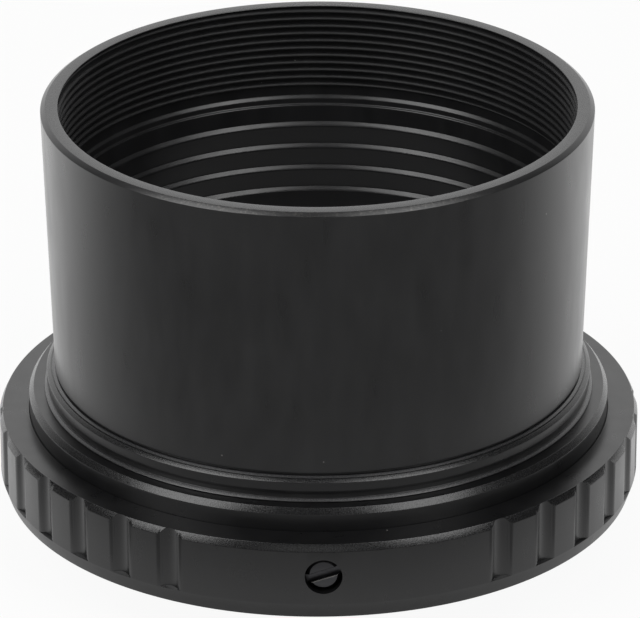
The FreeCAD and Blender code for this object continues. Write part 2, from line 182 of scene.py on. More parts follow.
@dataclass(frozen=True)
class BlackAnodised(Finish):
    """Black anodised aluminium: a dyed, sealed oxide skin over turned metal.

    The skin shines like a dielectric, so the finish is nearly black face on and mirrors its surroundings at a
    glancing angle. The dye takes unevenly, which leaves soft upright streaks, and the tool's feed shows as
    fine lines all round. Real grain and feed are a few hundredths of a millimetre and would not show, so both
    are drawn a few times coarser.
    """

    colour: str = "121213"
    streak_colour: str = "1f1f20"
    roughness: float = 0.3
    roughness_spread: float = 0.03
    streak: float = 1.9
    streak_length: float = 6.0
    dye_band: tuple[float, float] = (0.28, 0.76)
    sheen_band: tuple[float, float] = (0.3, 0.7)
    grain: float = 0.11
    grain_height: float = 0.0016
    feed: float = 0.16
    feed_height: float = 0.0012
    dust_colour: str = "6c6b68"
    dust: float = 4.6
    dust_size: float = 0.08
    shine: float = 0.5

    def shade(self, tree: bpy.types.NodeTree) -> bpy.types.NodeSocket:
        """Build the dyed skin with its streaks, grain, feed lines and dust.

        Args:
            tree: The material's empty tree.

        Returns:
            The shader output.
        """
        place, turned = lathe_coordinates(tree)
        stretch = (1.0, 1.0, self.streak / self.streak_length)
        upright = add_node(tree, "ShaderNodeMapping", {"Vector": place, "Scale": stretch})
        streaks = add_node(tree, "ShaderNodeTexNoise", {
            "Vector": upright.outputs[0], "Scale": per_metre(self.streak), "Detail": 2.0, "Roughness": 0.5})
        dye = add_node(tree, "ShaderNodeMapRange", {
            "Value": streaks.outputs["Fac"], "From Min": self.dye_band[0], "From Max": self.dye_band[1]})
        skin = add_node(tree, "ShaderNodeMix", {
            0: dye.outputs["Result"], 6: linear(self.colour),
            7: linear(self.streak_colour)}, data_type="RGBA")
        cells = add_node(tree, "ShaderNodeTexVoronoi", {"Vector": place, "Scale": per_metre(self.dust)})
        dust_share = self.dust_size / self.dust
        speck = add_node(tree, MATH, (cells.outputs["Distance"], dust_share), operation="LESS_THAN")
        dusted = add_node(tree, "ShaderNodeMix", {
            0: speck.outputs[0], 6: skin.outputs[2], 7: linear(self.dust_colour)}, data_type="RGBA")
        sheen = add_node(tree, "ShaderNodeMapRange", {
            "Value": streaks.outputs["Fac"], "From Min": self.sheen_band[0], "From Max": self.sheen_band[1],
            "To Min": self.roughness - self.roughness_spread,
            "To Max": self.roughness + self.roughness_spread})
        grain = add_node(tree, "ShaderNodeTexNoise", {
            "Vector": place, "Scale": per_metre(self.grain), "Detail": 1.0})
        grained = add_node(tree, "ShaderNodeBump", {
            "Height": grain.outputs["Fac"], "Distance": self.grain_height * MM, "Strength": 1.0})
        lines = add_node(tree, "ShaderNodeTexNoise", {
            "Vector": turned, "Scale": per_metre(self.feed), "Detail": 1.0}, noise_dimensions="2D")
        lined = add_node(tree, "ShaderNodeBump", {
            "Height": lines.outputs["Fac"], "Distance": self.feed_height * MM, "Strength": 1.0,
            "Normal": grained.outputs[0]})
        skin_shader = add_node(tree, "ShaderNodeBsdfPrincipled", {
            "Base Color": dusted.outputs[2], "Roughness": sheen.outputs["Result"], "IOR": OXIDE_IOR,
            "Specular IOR Level": self.shine, "Normal": lined.outputs[0]})
        return skin_shader.outputs[0]


@dataclass(frozen=True)
class TurnedChamfer(Finish):
    """A chamfer cut last and dyed with the rest: coarser and greyer, with a sparkle of tool chatter.

    The chatter's real marks are finer than a pixel, so they are drawn about one wide.
    """

    colour: str = "141415"
    roughness: float = 0.26
    roughness_spread: float = 0.06
    sheen_band: tuple[float, float] = (0.35, 0.65)
    chatter: float = 0.13
    chatter_height: float = 0.007

    def shade(self, tree: bpy.types.NodeTree) -> bpy.types.NodeSocket:
        """Build the grained chamfer.

        Args:
            tree: The material's empty tree.

        Returns:
            The shader output.
        """
        place, _ = lathe_coordinates(tree)
        chatter = add_node(tree, "ShaderNodeTexNoise", {
            "Vector": place, "Scale": per_metre(self.chatter), "Detail": 2.0, "Roughness": 0.6})
        grained = add_node(tree, "ShaderNodeBump", {
            "Height": chatter.outputs["Fac"], "Distance": self.chatter_height * MM, "Strength": 1.0})
        sheen = add_node(tree, "ShaderNodeMapRange", {
            "Value": chatter.outputs["Fac"], "From Min": self.sheen_band[0], "From Max": self.sheen_band[1],
            "To Min": self.roughness - self.roughness_spread,
            "To Max": self.roughness + self.roughness_spread})
        shader = add_node(tree, "ShaderNodeBsdfPrincipled", {
            "Base Color": linear(self.colour), "Roughness": sheen.outputs["Result"], "IOR": OXIDE_IOR,
            "Normal": grained.outputs[0]})
        return shader.outputs[0]


@dataclass(frozen=True)
class WornEdge(Finish):
    """An edge knocked in the hand and in the focuser: bare aluminium shows in ragged, short marks."""

    colour: str = "131314"
    bare_colour: str = "5c5b59"
    mark: float = 0.26
    share: float = 0.48
    ragged: float = 0.12
    roughness: float = 0.3
    worn_from: float = -21.0
    worn_to: float = -14.0
    spared: float = 0.3

    def shade(self, tree: bpy.types.NodeTree) -> bpy.types.NodeSocket:
        """Build the dyed skin broken by bare metal.

        Args:
            tree: The material's empty tree.

        Returns:
            The shader output.
        """
        place, _ = lathe_coordinates(tree)
        marks = add_node(tree, "ShaderNodeTexNoise", {
            "Vector": place, "Scale": per_metre(self.mark), "Detail": 4.0, "Roughness": 0.7})
        side = add_node(tree, "ShaderNodeMapRange", {
            "Value": add_node(tree, "ShaderNodeSeparateXYZ", {0: place}).outputs[1],
            "From Min": self.worn_from * MM, "From Max": self.worn_to * MM,
            "To Min": 0.0, "To Max": self.spared})
        held = add_node(tree, MATH, (marks.outputs["Fac"], side.outputs["Result"]), operation="SUBTRACT")
        worn = add_node(tree, "ShaderNodeMapRange", {
            "Value": held.outputs[0], "From Min": 1 - self.share, "From Max": 1 + self.ragged - self.share})
        skin = add_node(tree, "ShaderNodeBsdfPrincipled", {
            "Base Color": linear(self.colour), "Roughness": self.roughness, "IOR": OXIDE_IOR})
        metal = add_node(tree, "ShaderNodeBsdfPrincipled", {
            "Base Color": linear(self.bare_colour), "Roughness": self.roughness, "Metallic": 1.0})
        mixed = add_node(tree, "ShaderNodeMixShader", {
            0: worn.outputs["Result"], 1: skin.outputs[0], 2: metal.outputs[0]})
        return mixed.outputs[0]


@dataclass(frozen=True)
class TurnedMetal(Finish):
    """Bare or plated metal with the lathe's rings left in it, which draw the highlights out round the axis.

    The real rings are a few hundredths of a millimetre apart and would not show, so they are drawn coarser.
    """

    colour: str = "c9c9cb"
    roughness: float = 0.24
    roughness_spread: float = 0.05
    sheen_band: tuple[float, float] = (0.3, 0.7)
    feed: float = 0.12
    feed_height: float = 0.0015

    def shade(self, tree: bpy.types.NodeTree) -> bpy.types.NodeSocket:
        """Build the metal with its rings.

        Args:
            tree: The material's empty tree.

        Returns:
            The shader output.
        """
        _, turned = lathe_coordinates(tree)
        lines = add_node(tree, "ShaderNodeTexNoise", {
            "Vector": turned, "Scale": per_metre(self.feed), "Detail": 2.0}, noise_dimensions="2D")
        lined = add_node(tree, "ShaderNodeBump", {
            "Height": lines.outputs["Fac"], "Distance": self.feed_height * MM, "Strength": 1.0})
        sheen = add_node(tree, "ShaderNodeMapRange", {
            "Value": lines.outputs["Fac"], "From Min": self.sheen_band[0], "From Max": self.sheen_band[1],
            "To Min": self.roughness - self.roughness_spread,
            "To Max": self.roughness + self.roughness_spread})
        shader = add_node(tree, "ShaderNodeBsdfPrincipled", {
            "Base Color": linear(self.colour), "Metallic": 1.0, "Roughness": sheen.outputs["Result"],
            "Normal": lined.outputs[0]})
        return shader.outputs[0]


# The barrel's outside: faint upright streaks in the dye, and sides that mirror the table.
BARREL_BLACK = BlackAnodised("barrel_black_anodised")
# The rings' outsides: an even dye over a coarser grain, which softens what they mirror.
RING_BLACK = BlackAnodised("ring_black_anodised", colour="131314", streak_colour="171718", streak_length=3.0,
                           roughness=0.3, grain_height=0.003)
# Bores and grooves: a greyer dye over deep feed lines, which draw a highlight out along the turn.
BORE_BLACK = BlackAnodised("bore_black_anodised", colour="19191a", streak_colour="1e1e1f", roughness=0.32,
                           feed_height=0.003)
# The filter thread: matt from the tool, so that its turns stay dark with faint crests.
THREAD_BLACK = BlackAnodised("thread_black_anodised", colour="1b1b1c", streak_colour="202021", roughness=0.6,
                             shine=0.3, feed_height=0.002)
# Seats and drilled holes: the deepest black, painted shade where little light reaches, over the dye that
# pools there.
SEAT_PAINTED_SHADE = BlackAnodised("seat_painted_shade_anodised", colour="0e0e0f", streak_colour="111112", roughness=0.3)
# Chamfers: bright under a lamp, with a sparkle where the tool chattered.
CHAMFER_BLACK = TurnedChamfer("turned_chamfer_black")
# The thin lips of the barrel's foot and the collar: a lighter grey that is a painted highlight, so that they
# show as fine bright lines.
LIP_PAINTED_HIGHLIGHT = TurnedChamfer("lip_painted_highlight", colour="3a3a3b")
# The rim's edge: short marks of bare aluminium along a black line.
RIM_WORN = WornEdge("worn_rim_edge")
# The bayonet: satin chrome plate, which mirrors softly along its turned rings.
SATIN_CHROME = TurnedMetal("satin_chrome_plate")
# The flange screws: plated steel, duller and yellower than the chrome.
PLATED_STEEL = TurnedMetal("plated_steel_screw", colour="b4b3ae", roughness=0.3, feed=0.3)
# The set screws: blackened steel, a dark grey that glints like metal.
BLACK_OXIDE = TurnedMetal("black_oxide_steel", colour="4e4e50", roughness=0.34, feed=0.2, feed_height=0.004)
# The slots' edges: steel that a driver has rubbed bare, which draws the slot in light lines.
SLOT_EDGE = TurnedMetal("bare_slot_edge", colour="5a5958", roughness=0.42, feed=0.3)

# What each turned piece is dressed in, in the order that Face numbers its surfaces.
RING_FINISHES = (RING_BLACK, BORE_BLACK, CHAMFER_BLACK, CHAMFER_BLACK, SEAT_PAINTED_SHADE)
COLLAR_FINISHES = (*RING_FINISHES, LIP_PAINTED_HIGHLIGHT)
BARREL_FINISHES = (BARREL_BLACK, BORE_BLACK, CHAMFER_BLACK, RIM_WORN, SEAT_PAINTED_SHADE, LIP_PAINTED_HIGHLIGHT)


# Turned meshes


class Face(IntEnum):
    """Which of a piece's finishes a stretch of its outline has."""

    WALL = 0
    BORE = 1
    CHAMFER = 2
    EDGE = 3
    SEAT = 4
    LIP = 5


class Break(float, Enum):
    """How widely a corner is broken, in millimetres from the corner along each side."""

    SHARP = 0.0
    FINE = 0.02
    KEEN = 0.03
    CRISP = 0.04
    EASED = 0.05
    SMOOTH = 0.06
    ROUND = 0.08
    SOFT = 0.1


@dataclass(frozen=True)
class Corner:
    """A corner of a turned outline.

    The face is that of the stretch from this corner to the next.
    """

    radius: float
    height: float
    face: Face
    rounding: float

    def point(self) -> Vector:
        """The corner as a point of the outline's plane."""
        return Vector((self.radius, self.height))


def rounded(outline: list[Corner], steps: int = 3, share: float = 0.4) -> list[tuple[Vector, Face]]:
    """Round the corners of a closed outline.

    Args:
        outline: The corners, in order.
        steps: How many straight steps a rounded corner gets.
        share: The most of a side that one corner's rounding may take up.

    Returns:
        The outline's points, each with the face of the stretch that follows it.
    """
    points = []
    for index, corner in enumerate(outline):
        here = corner.point()
        before = outline[index - 1].point() - here
        after = outline[(index + 1) % len(outline)].point() - here
        if corner.rounding == Break.SHARP:
            points.append((here, corner.face))
            continue
        start = here + before.normalized() * min(float(corner.rounding), before.length * share)
        end = here + after.normalized() * min(float(corner.rounding), after.length * share)
        for step in range(steps + 1):
            t = step / steps
            points.append((start * (1 - t) ** 2 + here * (2 * t * (1 - t)) + end * t ** 2, corner.face))
    return points


def turned_mesh(name: str, outline: list[Corner], finishes: tuple[Finish, ...],
                segments: int = SEGMENTS) -> bpy.types.Object:
    """Turn a closed outline about the light path.

    Args:
        name: The object's name.
        outline: Corners in millimetres.
        finishes: The finishes that the outline's faces number.
        segments: How many steps the turn takes.

    Returns:
        The object, all of it smooth until crisp finds its edges.
    """
    points = rounded(outline)
    mesh = bmesh.new()
    turns = [2 * math.pi * step / segments for step in range(segments)]
    rings = [[mesh.verts.new((p.x * MM * math.cos(a), p.x * MM * math.sin(a), p.y * MM)) for a in turns]
             for p, _ in points]
    for index, (_, face) in enumerate(points):
        ring, following = rings[index], rings[(index + 1) % len(rings)]
        for step in range(segments):
            beside = (step + 1) % segments
            quad = mesh.faces.new((ring[step], ring[beside], following[beside], following[step]))
            quad.material_index = int(face)
            quad.smooth = True
    bmesh.ops.remove_doubles(mesh, verts=mesh.verts, dist=SAME_POINT)
    bmesh.ops.dissolve_degenerate(mesh, edges=mesh.edges, dist=SAME_POINT)
    bmesh.ops.recalc_face_normals(mesh, faces=mesh.faces)
    data = bpy.data.meshes.new(name)
    mesh.to_mesh(data)
    mesh.free()
    for finish in finishes:
        data.materials.append(finish.material())
    piece = bpy.data.objects.new(name, data)
    bpy.context.scene.collection.objects.link(piece)
    return piece


def settle(piece: bpy.types.Object) -> None:
    """Turn what an object's modifiers make into its own plain mesh.

    Args:
        piece: The object, whose modifiers are removed.
    """
    bpy.context.view_layer.update()
    graph = bpy.context.evaluated_depsgraph_get()
    made = bpy.data.meshes.new_from_object(
        piece.evaluated_get(graph), preserve_all_data_layers=True, depsgraph=graph)
    made.name = piece.name
    old = piece.data
    piece.modifiers.clear()
    piece.data = made
    bpy.data.meshes.remove(old)


def crisp(piece: bpy.types.Object, angle: float = 32.0) -> None:
    """Shade a piece smooth, with sharp edges where its faces turn and flat faces kept flat.

    Args:
        piece: The object.
        angle: Faces that meet at more than this many degrees meet in a sharp edge.
    """
    piece.data.shade_smooth()
    piece.data.set_sharp_from_angle(angle=math.radians(angle))
    weighted = piece.modifiers.new("weighted", "WEIGHTED_NORMAL")
    weighted.keep_sharp = True
    weighted.weight = 100
    settle(piece)


class ShapeTree:
    """A Geometry Nodes tree with named inputs that changes or adds to a piece's mesh."""

    def __init__(self, name: str, sizes: tuple[str, ...], counts: tuple[str, ...] = ()) -> None:
        """Start the tree.

        Args:
            name: The tree's name.
            sizes: Names of the inputs that are lengths in metres or angles in radians.
            counts: Names of the inputs that are whole numbers.
        """
        self.tree = bpy.data.node_groups.new(name, "GeometryNodeTree")
        face = self.tree.interface
        face.new_socket(name="Geometry", in_out="INPUT", socket_type="NodeSocketGeometry")
        kinds = {"NodeSocketFloat": sizes, "NodeSocketInt": counts, "NodeSocketMaterial": ("Finish",)}
        self.sockets = {}
        for kind, names in kinds.items():
            for label in names:
                self.sockets[label] = face.new_socket(name=label, in_out="INPUT", socket_type=kind).identifier
        face.new_socket(name="Geometry", in_out="OUTPUT", socket_type="NodeSocketGeometry")
        self.given = add_node(self.tree, "NodeGroupInput").outputs

    def add(self, kind: str, inputs: Inputs | None = None, **settings: object) -> bpy.types.NodeSocket:
        """Add a node to the tree, as add_node does, and give its first output."""
        return add_node(self.tree, kind, inputs, **settings).outputs[0]

    def copies(self, tool: bpy.types.NodeSocket, places: bpy.types.NodeSocket, turn: Inputs | None = None,
               chosen: bpy.types.NodeSocket | bool = True) -> bpy.types.NodeSocket:
        """Copies of a tool or a piece, one at each point.

        Args:
            tool: What is copied.
            places: The points.
            turn: The turn of each copy about X, Y and Z, by axis number.
            chosen: Which of the points get a copy.

        Returns:
            The copies, as real geometry.
        """
        facing = self.add(VECTOR, turn)
        rotation = self.add("FunctionNodeEulerToRotation", {0: facing})
        laid = self.add("GeometryNodeInstanceOnPoints", {
            "Points": places, "Instance": tool, "Rotation": rotation, "Selection": chosen})
        return self.add("GeometryNodeRealizeInstances", {0: laid})

    def finish(self, shape: bpy.types.NodeSocket, dressed: bool) -> None:
        """End the tree.

        Args:
            shape: What the tree makes.
            dressed: Whether the whole shape takes the tree's finish, or keeps the materials that it has.
        """
        real = self.add("GeometryNodeRealizeInstances", {0: shape})
        if dressed:
            real = self.add(DRESSED, {"Geometry": real, "Material": self.given["Finish"]})
        add_node(self.tree, "NodeGroupOutput", {0: real})

    def run(self, piece: bpy.types.Object, finish: Finish, **values: float) -> None:
        """Run the tree on a piece and keep the result as its plain mesh.

        Args:
            piece: The object.
            finish: The finish for the tree's Finish input.
            values: The other inputs, by name with _ for a space.
        """
        modifier = piece.modifiers.new(self.tree.name, "NODES")
        modifier.node_group = self.tree
        modifier[self.sockets["Finish"]] = finish.material()
        for label, value in values.items():
            modifier[self.sockets[label.replace("_", " ").capitalize()]] = value
        settle(piece)


def thread_tree(sunk: float = 0.2, fade: float = 0.25) -> ShapeTree:
    """Tree that adds the ridge of a right-handed screw thread to a turned piece.

    Args:
        sunk: How deep the ridge's root is sunk in the wall, as a share of its height.
        fade: How much of a turn the ridge takes to rise to its full height at each end.

    Returns:
        The tree. Height is positive on a bolt and negative in a nut.
    """
    sizes = ("Radius", "Foot", "Pitch", "Turns", "Height", "Root", "Crest")
    shape = ShapeTree("screw_thread", sizes, ("Steps",))
    given = shape.given
    rise = shape.add(MATH, (given["Pitch"], given["Turns"]), operation="MULTIPLY")
    helix = shape.add("GeometryNodeCurveSpiral", {
        "Resolution": given["Steps"], "Rotations": given["Turns"], "Start Radius": given["Radius"],
        "End Radius": given["Radius"], "Height": rise, "Reverse": True})
    foot = shape.add(VECTOR, {2: given["Foot"]})
    lifted = shape.add(MOVED, {0: helix, "Translation": foot})
    level = shape.add("GeometryNodeSetCurveNormal", {0: lifted}, mode="Z_UP")
    half_root = shape.add(MATH, (given["Root"], 0.5), operation="MULTIPLY")
    half_crest = shape.add(MATH, (given["Crest"], 0.5), operation="MULTIPLY")
    under = shape.add(MATH, (given["Height"], -sunk), operation="MULTIPLY")
    corners = [(under, half_root), (given["Height"], half_crest)]
    points = [shape.add(VECTOR, corner) for corner in corners]
    mirrored = [shape.add("ShaderNodeVectorMath", {0: point, 1: (1, -1, 1)}, operation="MULTIPLY")
                for point in reversed(points)]
    names = ("Point 1", "Point 2", "Point 3", "Point 4")
    section = shape.add(
        "GeometryNodeCurvePrimitiveQuadrilateral", dict(zip(names, points + mirrored)), mode="POINTS")
    along = shape.add("GeometryNodeSplineParameter")
    back = shape.add(MATH, (1.0, along), operation="SUBTRACT")
    nearest = shape.add(MATH, (along, back), operation="MINIMUM")
    turned = shape.add(MATH, (nearest, given["Turns"]), operation="MULTIPLY")
    risen = shape.add(MATH, (turned, 1 / fade), operation="MULTIPLY")
    rising = shape.add(MATH, (risen, 1.0), operation="MINIMUM")
    ridge = shape.add("GeometryNodeCurveToMesh", {
        "Curve": level, "Profile Curve": section, "Scale": rising, "Fill Caps": True})
    dressed = shape.add(DRESSED, {"Geometry": ridge, "Material": given["Finish"]})
    joined = shape.add("GeometryNodeJoinGeometry", {0: [dressed, given["Geometry"]]})
    shape.finish(joined, dressed=False)
    return shape


def polar_points(shape: ShapeTree, count: bpy.types.NodeSocket, radius: bpy.types.NodeSocket,
                 azimuth: bpy.types.NodeSocket, height: bpy.types.NodeSocket) -> bpy.types.NodeSocket:
    """Points on a circle about the light path.

    Args:
        shape: The tree that they go into.
        count: How many.
        radius: The circle's radius.
        azimuth: Each point's turn from +X, in radians, which may depend on its index.
        height: The circle's height.

    Returns:
        The points.
    """
    cosine = shape.add(MATH, (azimuth,), operation="COSINE")
    sine = shape.add(MATH, (azimuth,), operation="SINE")
    across = shape.add(MATH, (radius, cosine), operation="MULTIPLY")
    along = shape.add(MATH, (radius, sine), operation="MULTIPLY")
    place = shape.add(VECTOR, (across, along, height))
    return shape.add("GeometryNodePoints", {"Count": count, "Position": place})


def evenly_round(shape: ShapeTree, count: bpy.types.NodeSocket,
                 first: bpy.types.NodeSocket) -> bpy.types.NodeSocket:
    """Spread several points evenly round a circle.

    Args:
        shape: The tree that they go into.
        count: How many.
        first: The first point's turn, in radians.

    Returns:
        Each point's turn, in radians.
    """
    index = shape.add("GeometryNodeInputIndex")
    step = shape.add(MATH, (2 * math.pi, count), operation="DIVIDE")
    return shape.add(MATH, (index, step, first), operation="MULTIPLY_ADD")


def scallop_cutter(shape: ShapeTree, overlap: float = 1.2, wedge_size: float = 8.0) -> bpy.types.NodeSocket:
    """The cutter of one scallop: a bar with a sloping foot, flared to leave the ring in a round edge.

    The flare is a box less two cylinders. Each cylinder touches the bar and, from within, the ring's outside,
    so the ring keeps the cylinder's round at that edge.

    Args:
        shape: The grip ring's tree, with the scallop's sizes.
        overlap: The two cylinders' length, as a share of the scallop's.
        wedge_size: The size of the wedge under the sloping foot, in scallop radii.

    Returns:
        The cutter about its own axis, with +X away from the ring.
    """
    given = shape.given
    radius, edge, height = given["Scallop radius"], given["Scallop edge"], given["Scallop height"]
    bar = shape.add(CYLINDER, {"Vertices": TOOL_SEGMENTS, "Radius": radius, "Depth": height})

    # The ring's middle, the bar's and a cylinder's make a triangle, whose height is half the flare's width.
    out_to_bar = shape.add(MATH, (given["Radius"], radius), operation="ADD")
    axis = shape.add(MATH, (out_to_bar, given["Scallop depth"]), operation="SUBTRACT")
    across = shape.add(MATH, (radius, edge), operation="ADD")
    rim = shape.add(MATH, (given["Radius"], edge), operation="SUBTRACT")
    axis_square, across_square, rim_square = (
        shape.add(MATH, (length, length), operation="MULTIPLY") for length in (axis, across, rim))
    both = shape.add(MATH, (axis_square, across_square), operation="ADD")
    rest = shape.add(MATH, (both, rim_square), operation="SUBTRACT")
    twice_axis = shape.add(MATH, (axis, 2.0), operation="MULTIPLY")
    inward = shape.add(MATH, (rest, twice_axis), operation="DIVIDE")
    inward_square = shape.add(MATH, (inward, inward), operation="MULTIPLY")
    half_square = shape.add(MATH, (across_square, inward_square), operation="SUBTRACT")
    half = shape.add(MATH, (half_square,), operation="SQRT")

    # The flare reaches from the bar's axis to where the cylinders touch the bar.
    reaching = shape.add(MATH, (radius, inward), operation="MULTIPLY")
    face = shape.add(MATH, (reaching, across), operation="DIVIDE")
    width = shape.add(MATH, (half, 2.0), operation="MULTIPLY")
    size = shape.add(VECTOR, (face, width, height))
    middle = shape.add(VECTOR, {0: shape.add(MATH, (face, -0.5), operation="MULTIPLY")})
    flare = shape.add(MOVED, {0: shape.add(BLOCK, {"Size": size}), "Translation": middle})
    longer = shape.add(MATH, (height, overlap), operation="MULTIPLY")
    rounding = shape.add(CYLINDER, {"Vertices": TOOL_SEGMENTS, "Radius": edge, "Depth": longer})
    back = shape.add(MATH, (inward, -1.0), operation="MULTIPLY")
    for side in (1.0, -1.0):
        aside = shape.add(MATH, (half, side), operation="MULTIPLY")
        beside = shape.add(VECTOR, (back, aside))
        flare = shape.add(BOOLEAN, (flare, [shape.add(MOVED, {0: rounding, "Translation": beside})]), **CUT)
    union = shape.add(BOOLEAN, {1: [bar, flare]}, operation="UNION", solver="EXACT")

    # The wedge's upper side slopes down and outward from the bar's inner foot.
    block = shape.add(MATH, (radius, wedge_size), operation="MULTIPLY")
    wedge = shape.add(BLOCK, {"Size": shape.add(VECTOR, (block, block, block))})
    slope = given["Foot slope"]
    cosine = shape.add(MATH, (slope,), operation="COSINE")
    sine = shape.add(MATH, (slope,), operation="SINE")
    reach = shape.add(MATH, (given["Scallop depth"], radius), operation="SUBTRACT")
    down = shape.add(MATH, (block, -0.5), operation="MULTIPLY")
    bar_foot = shape.add(MATH, (height, -0.5), operation="MULTIPLY")
    away = shape.add(MATH, (down, sine, reach), operation="MULTIPLY_ADD")
    sunk = shape.add(MATH, (down, cosine, bar_foot), operation="MULTIPLY_ADD")
    under = shape.add(MOVED, {
        0: wedge, "Translation": shape.add(VECTOR, {0: away, 2: sunk}),
        "Rotation": shape.add(VECTOR, {1: slope})})
    return shape.add(BOOLEAN, (union, [under]), **CUT)


def grip_tree(drill_length: float = 7.0) -> ShapeTree:
    """Tree that cuts the scallops and the set screws' holes into the blank of the grip ring.

    Args:
        drill_length: The length of the drill for the set screws' holes, in hole radii.

    Returns:
        The tree.
    """
    sizes = ("Radius", "Scallop radius", "Scallop depth", "Scallop foot", "Scallop height", "Scallop pitch",
             "Scallop edge", "Foot slope", "Pad azimuth", "Hole radius", "Hole mouth", "Hole edge",
             "Hole height", "Hole azimuth")
    shape = ShapeTree("grip_cuts", sizes, ("Pads", "Scallops"))
    given = shape.given
    index = shape.add("GeometryNodeInputIndex")
    counted = shape.add(MATH, (index, given["Scallops"]), operation="DIVIDE")
    side = shape.add(MATH, (counted,), operation="FLOOR")
    number = shape.add(MATH, (index, given["Scallops"]), operation="MODULO")
    last = shape.add(MATH, (given["Scallops"], 1.0), operation="SUBTRACT")
    central = shape.add(MATH, (last, 0.5), operation="MULTIPLY")
    place = shape.add(MATH, (number, central), operation="SUBTRACT")
    between_pads = shape.add(MATH, (side, 0.5), operation="ADD")
    third = shape.add(MATH, (2 * math.pi, given["Pads"]), operation="DIVIDE")
    side_turn = shape.add(MATH, (between_pads, third), operation="MULTIPLY")
    in_side = shape.add(MATH, (place, given["Scallop pitch"], given["Pad azimuth"]), operation="MULTIPLY_ADD")
    turn = shape.add(MATH, (in_side, side_turn), operation="ADD")
    floor = shape.add(MATH, (given["Radius"], given["Scallop depth"]), operation="SUBTRACT")
    reach = shape.add(MATH, (floor, given["Scallop radius"]), operation="ADD")
    middle = shape.add(MATH, (given["Scallop height"], 0.5, given["Scallop foot"]), operation="MULTIPLY_ADD")
    every = shape.add(MATH, (given["Scallops"], given["Pads"]), operation="MULTIPLY")
    places = polar_points(shape, every, reach, turn, middle)
    cutters = shape.copies(scallop_cutter(shape), places, {2: turn})
    ring = shape.add(BOOLEAN, (given["Geometry"], [cutters]), **CUT)

    depth = shape.add(MATH, (given["Hole radius"], drill_length), operation="MULTIPLY")
    drill = shape.add(CYLINDER, {"Vertices": TOOL_SEGMENTS, "Radius": given["Hole radius"], "Depth": depth})
    wide = shape.add(MATH, (given["Hole mouth"], given["Hole edge"]), operation="ADD")
    narrow = shape.add(MATH, (given["Hole mouth"], given["Hole edge"]), operation="SUBTRACT")
    funnel = shape.add("GeometryNodeMeshCone", {
        "Vertices": TOOL_SEGMENTS, "Radius Top": wide, "Radius Bottom": narrow,
        "Depth": shape.add(MATH, (given["Hole edge"], 2.0), operation="MULTIPLY")})
    lowered = shape.add(VECTOR, {2: shape.add(MATH, (given["Hole edge"], -1.0), operation="MULTIPLY")})
    seated = shape.add(MOVED, {0: funnel, "Translation": lowered})
    # The drill's walls take the seats' finish: painted shade inside the set screws' holes.
    dark = shape.add(DRESSED, {"Geometry": drill, "Material": given["Finish"]})
    azimuth = evenly_round(shape, given["Pads"], given["Hole azimuth"])
    holes = polar_points(shape, given["Pads"], given["Radius"], azimuth, given["Hole height"])
    for tool in (dark, seated):
        ring = shape.add(BOOLEAN, (ring, [shape.copies(tool, holes, {1: math.pi / 2, 2: azimuth})]), **CUT)
    shape.finish(ring, dressed=False)
    return shape


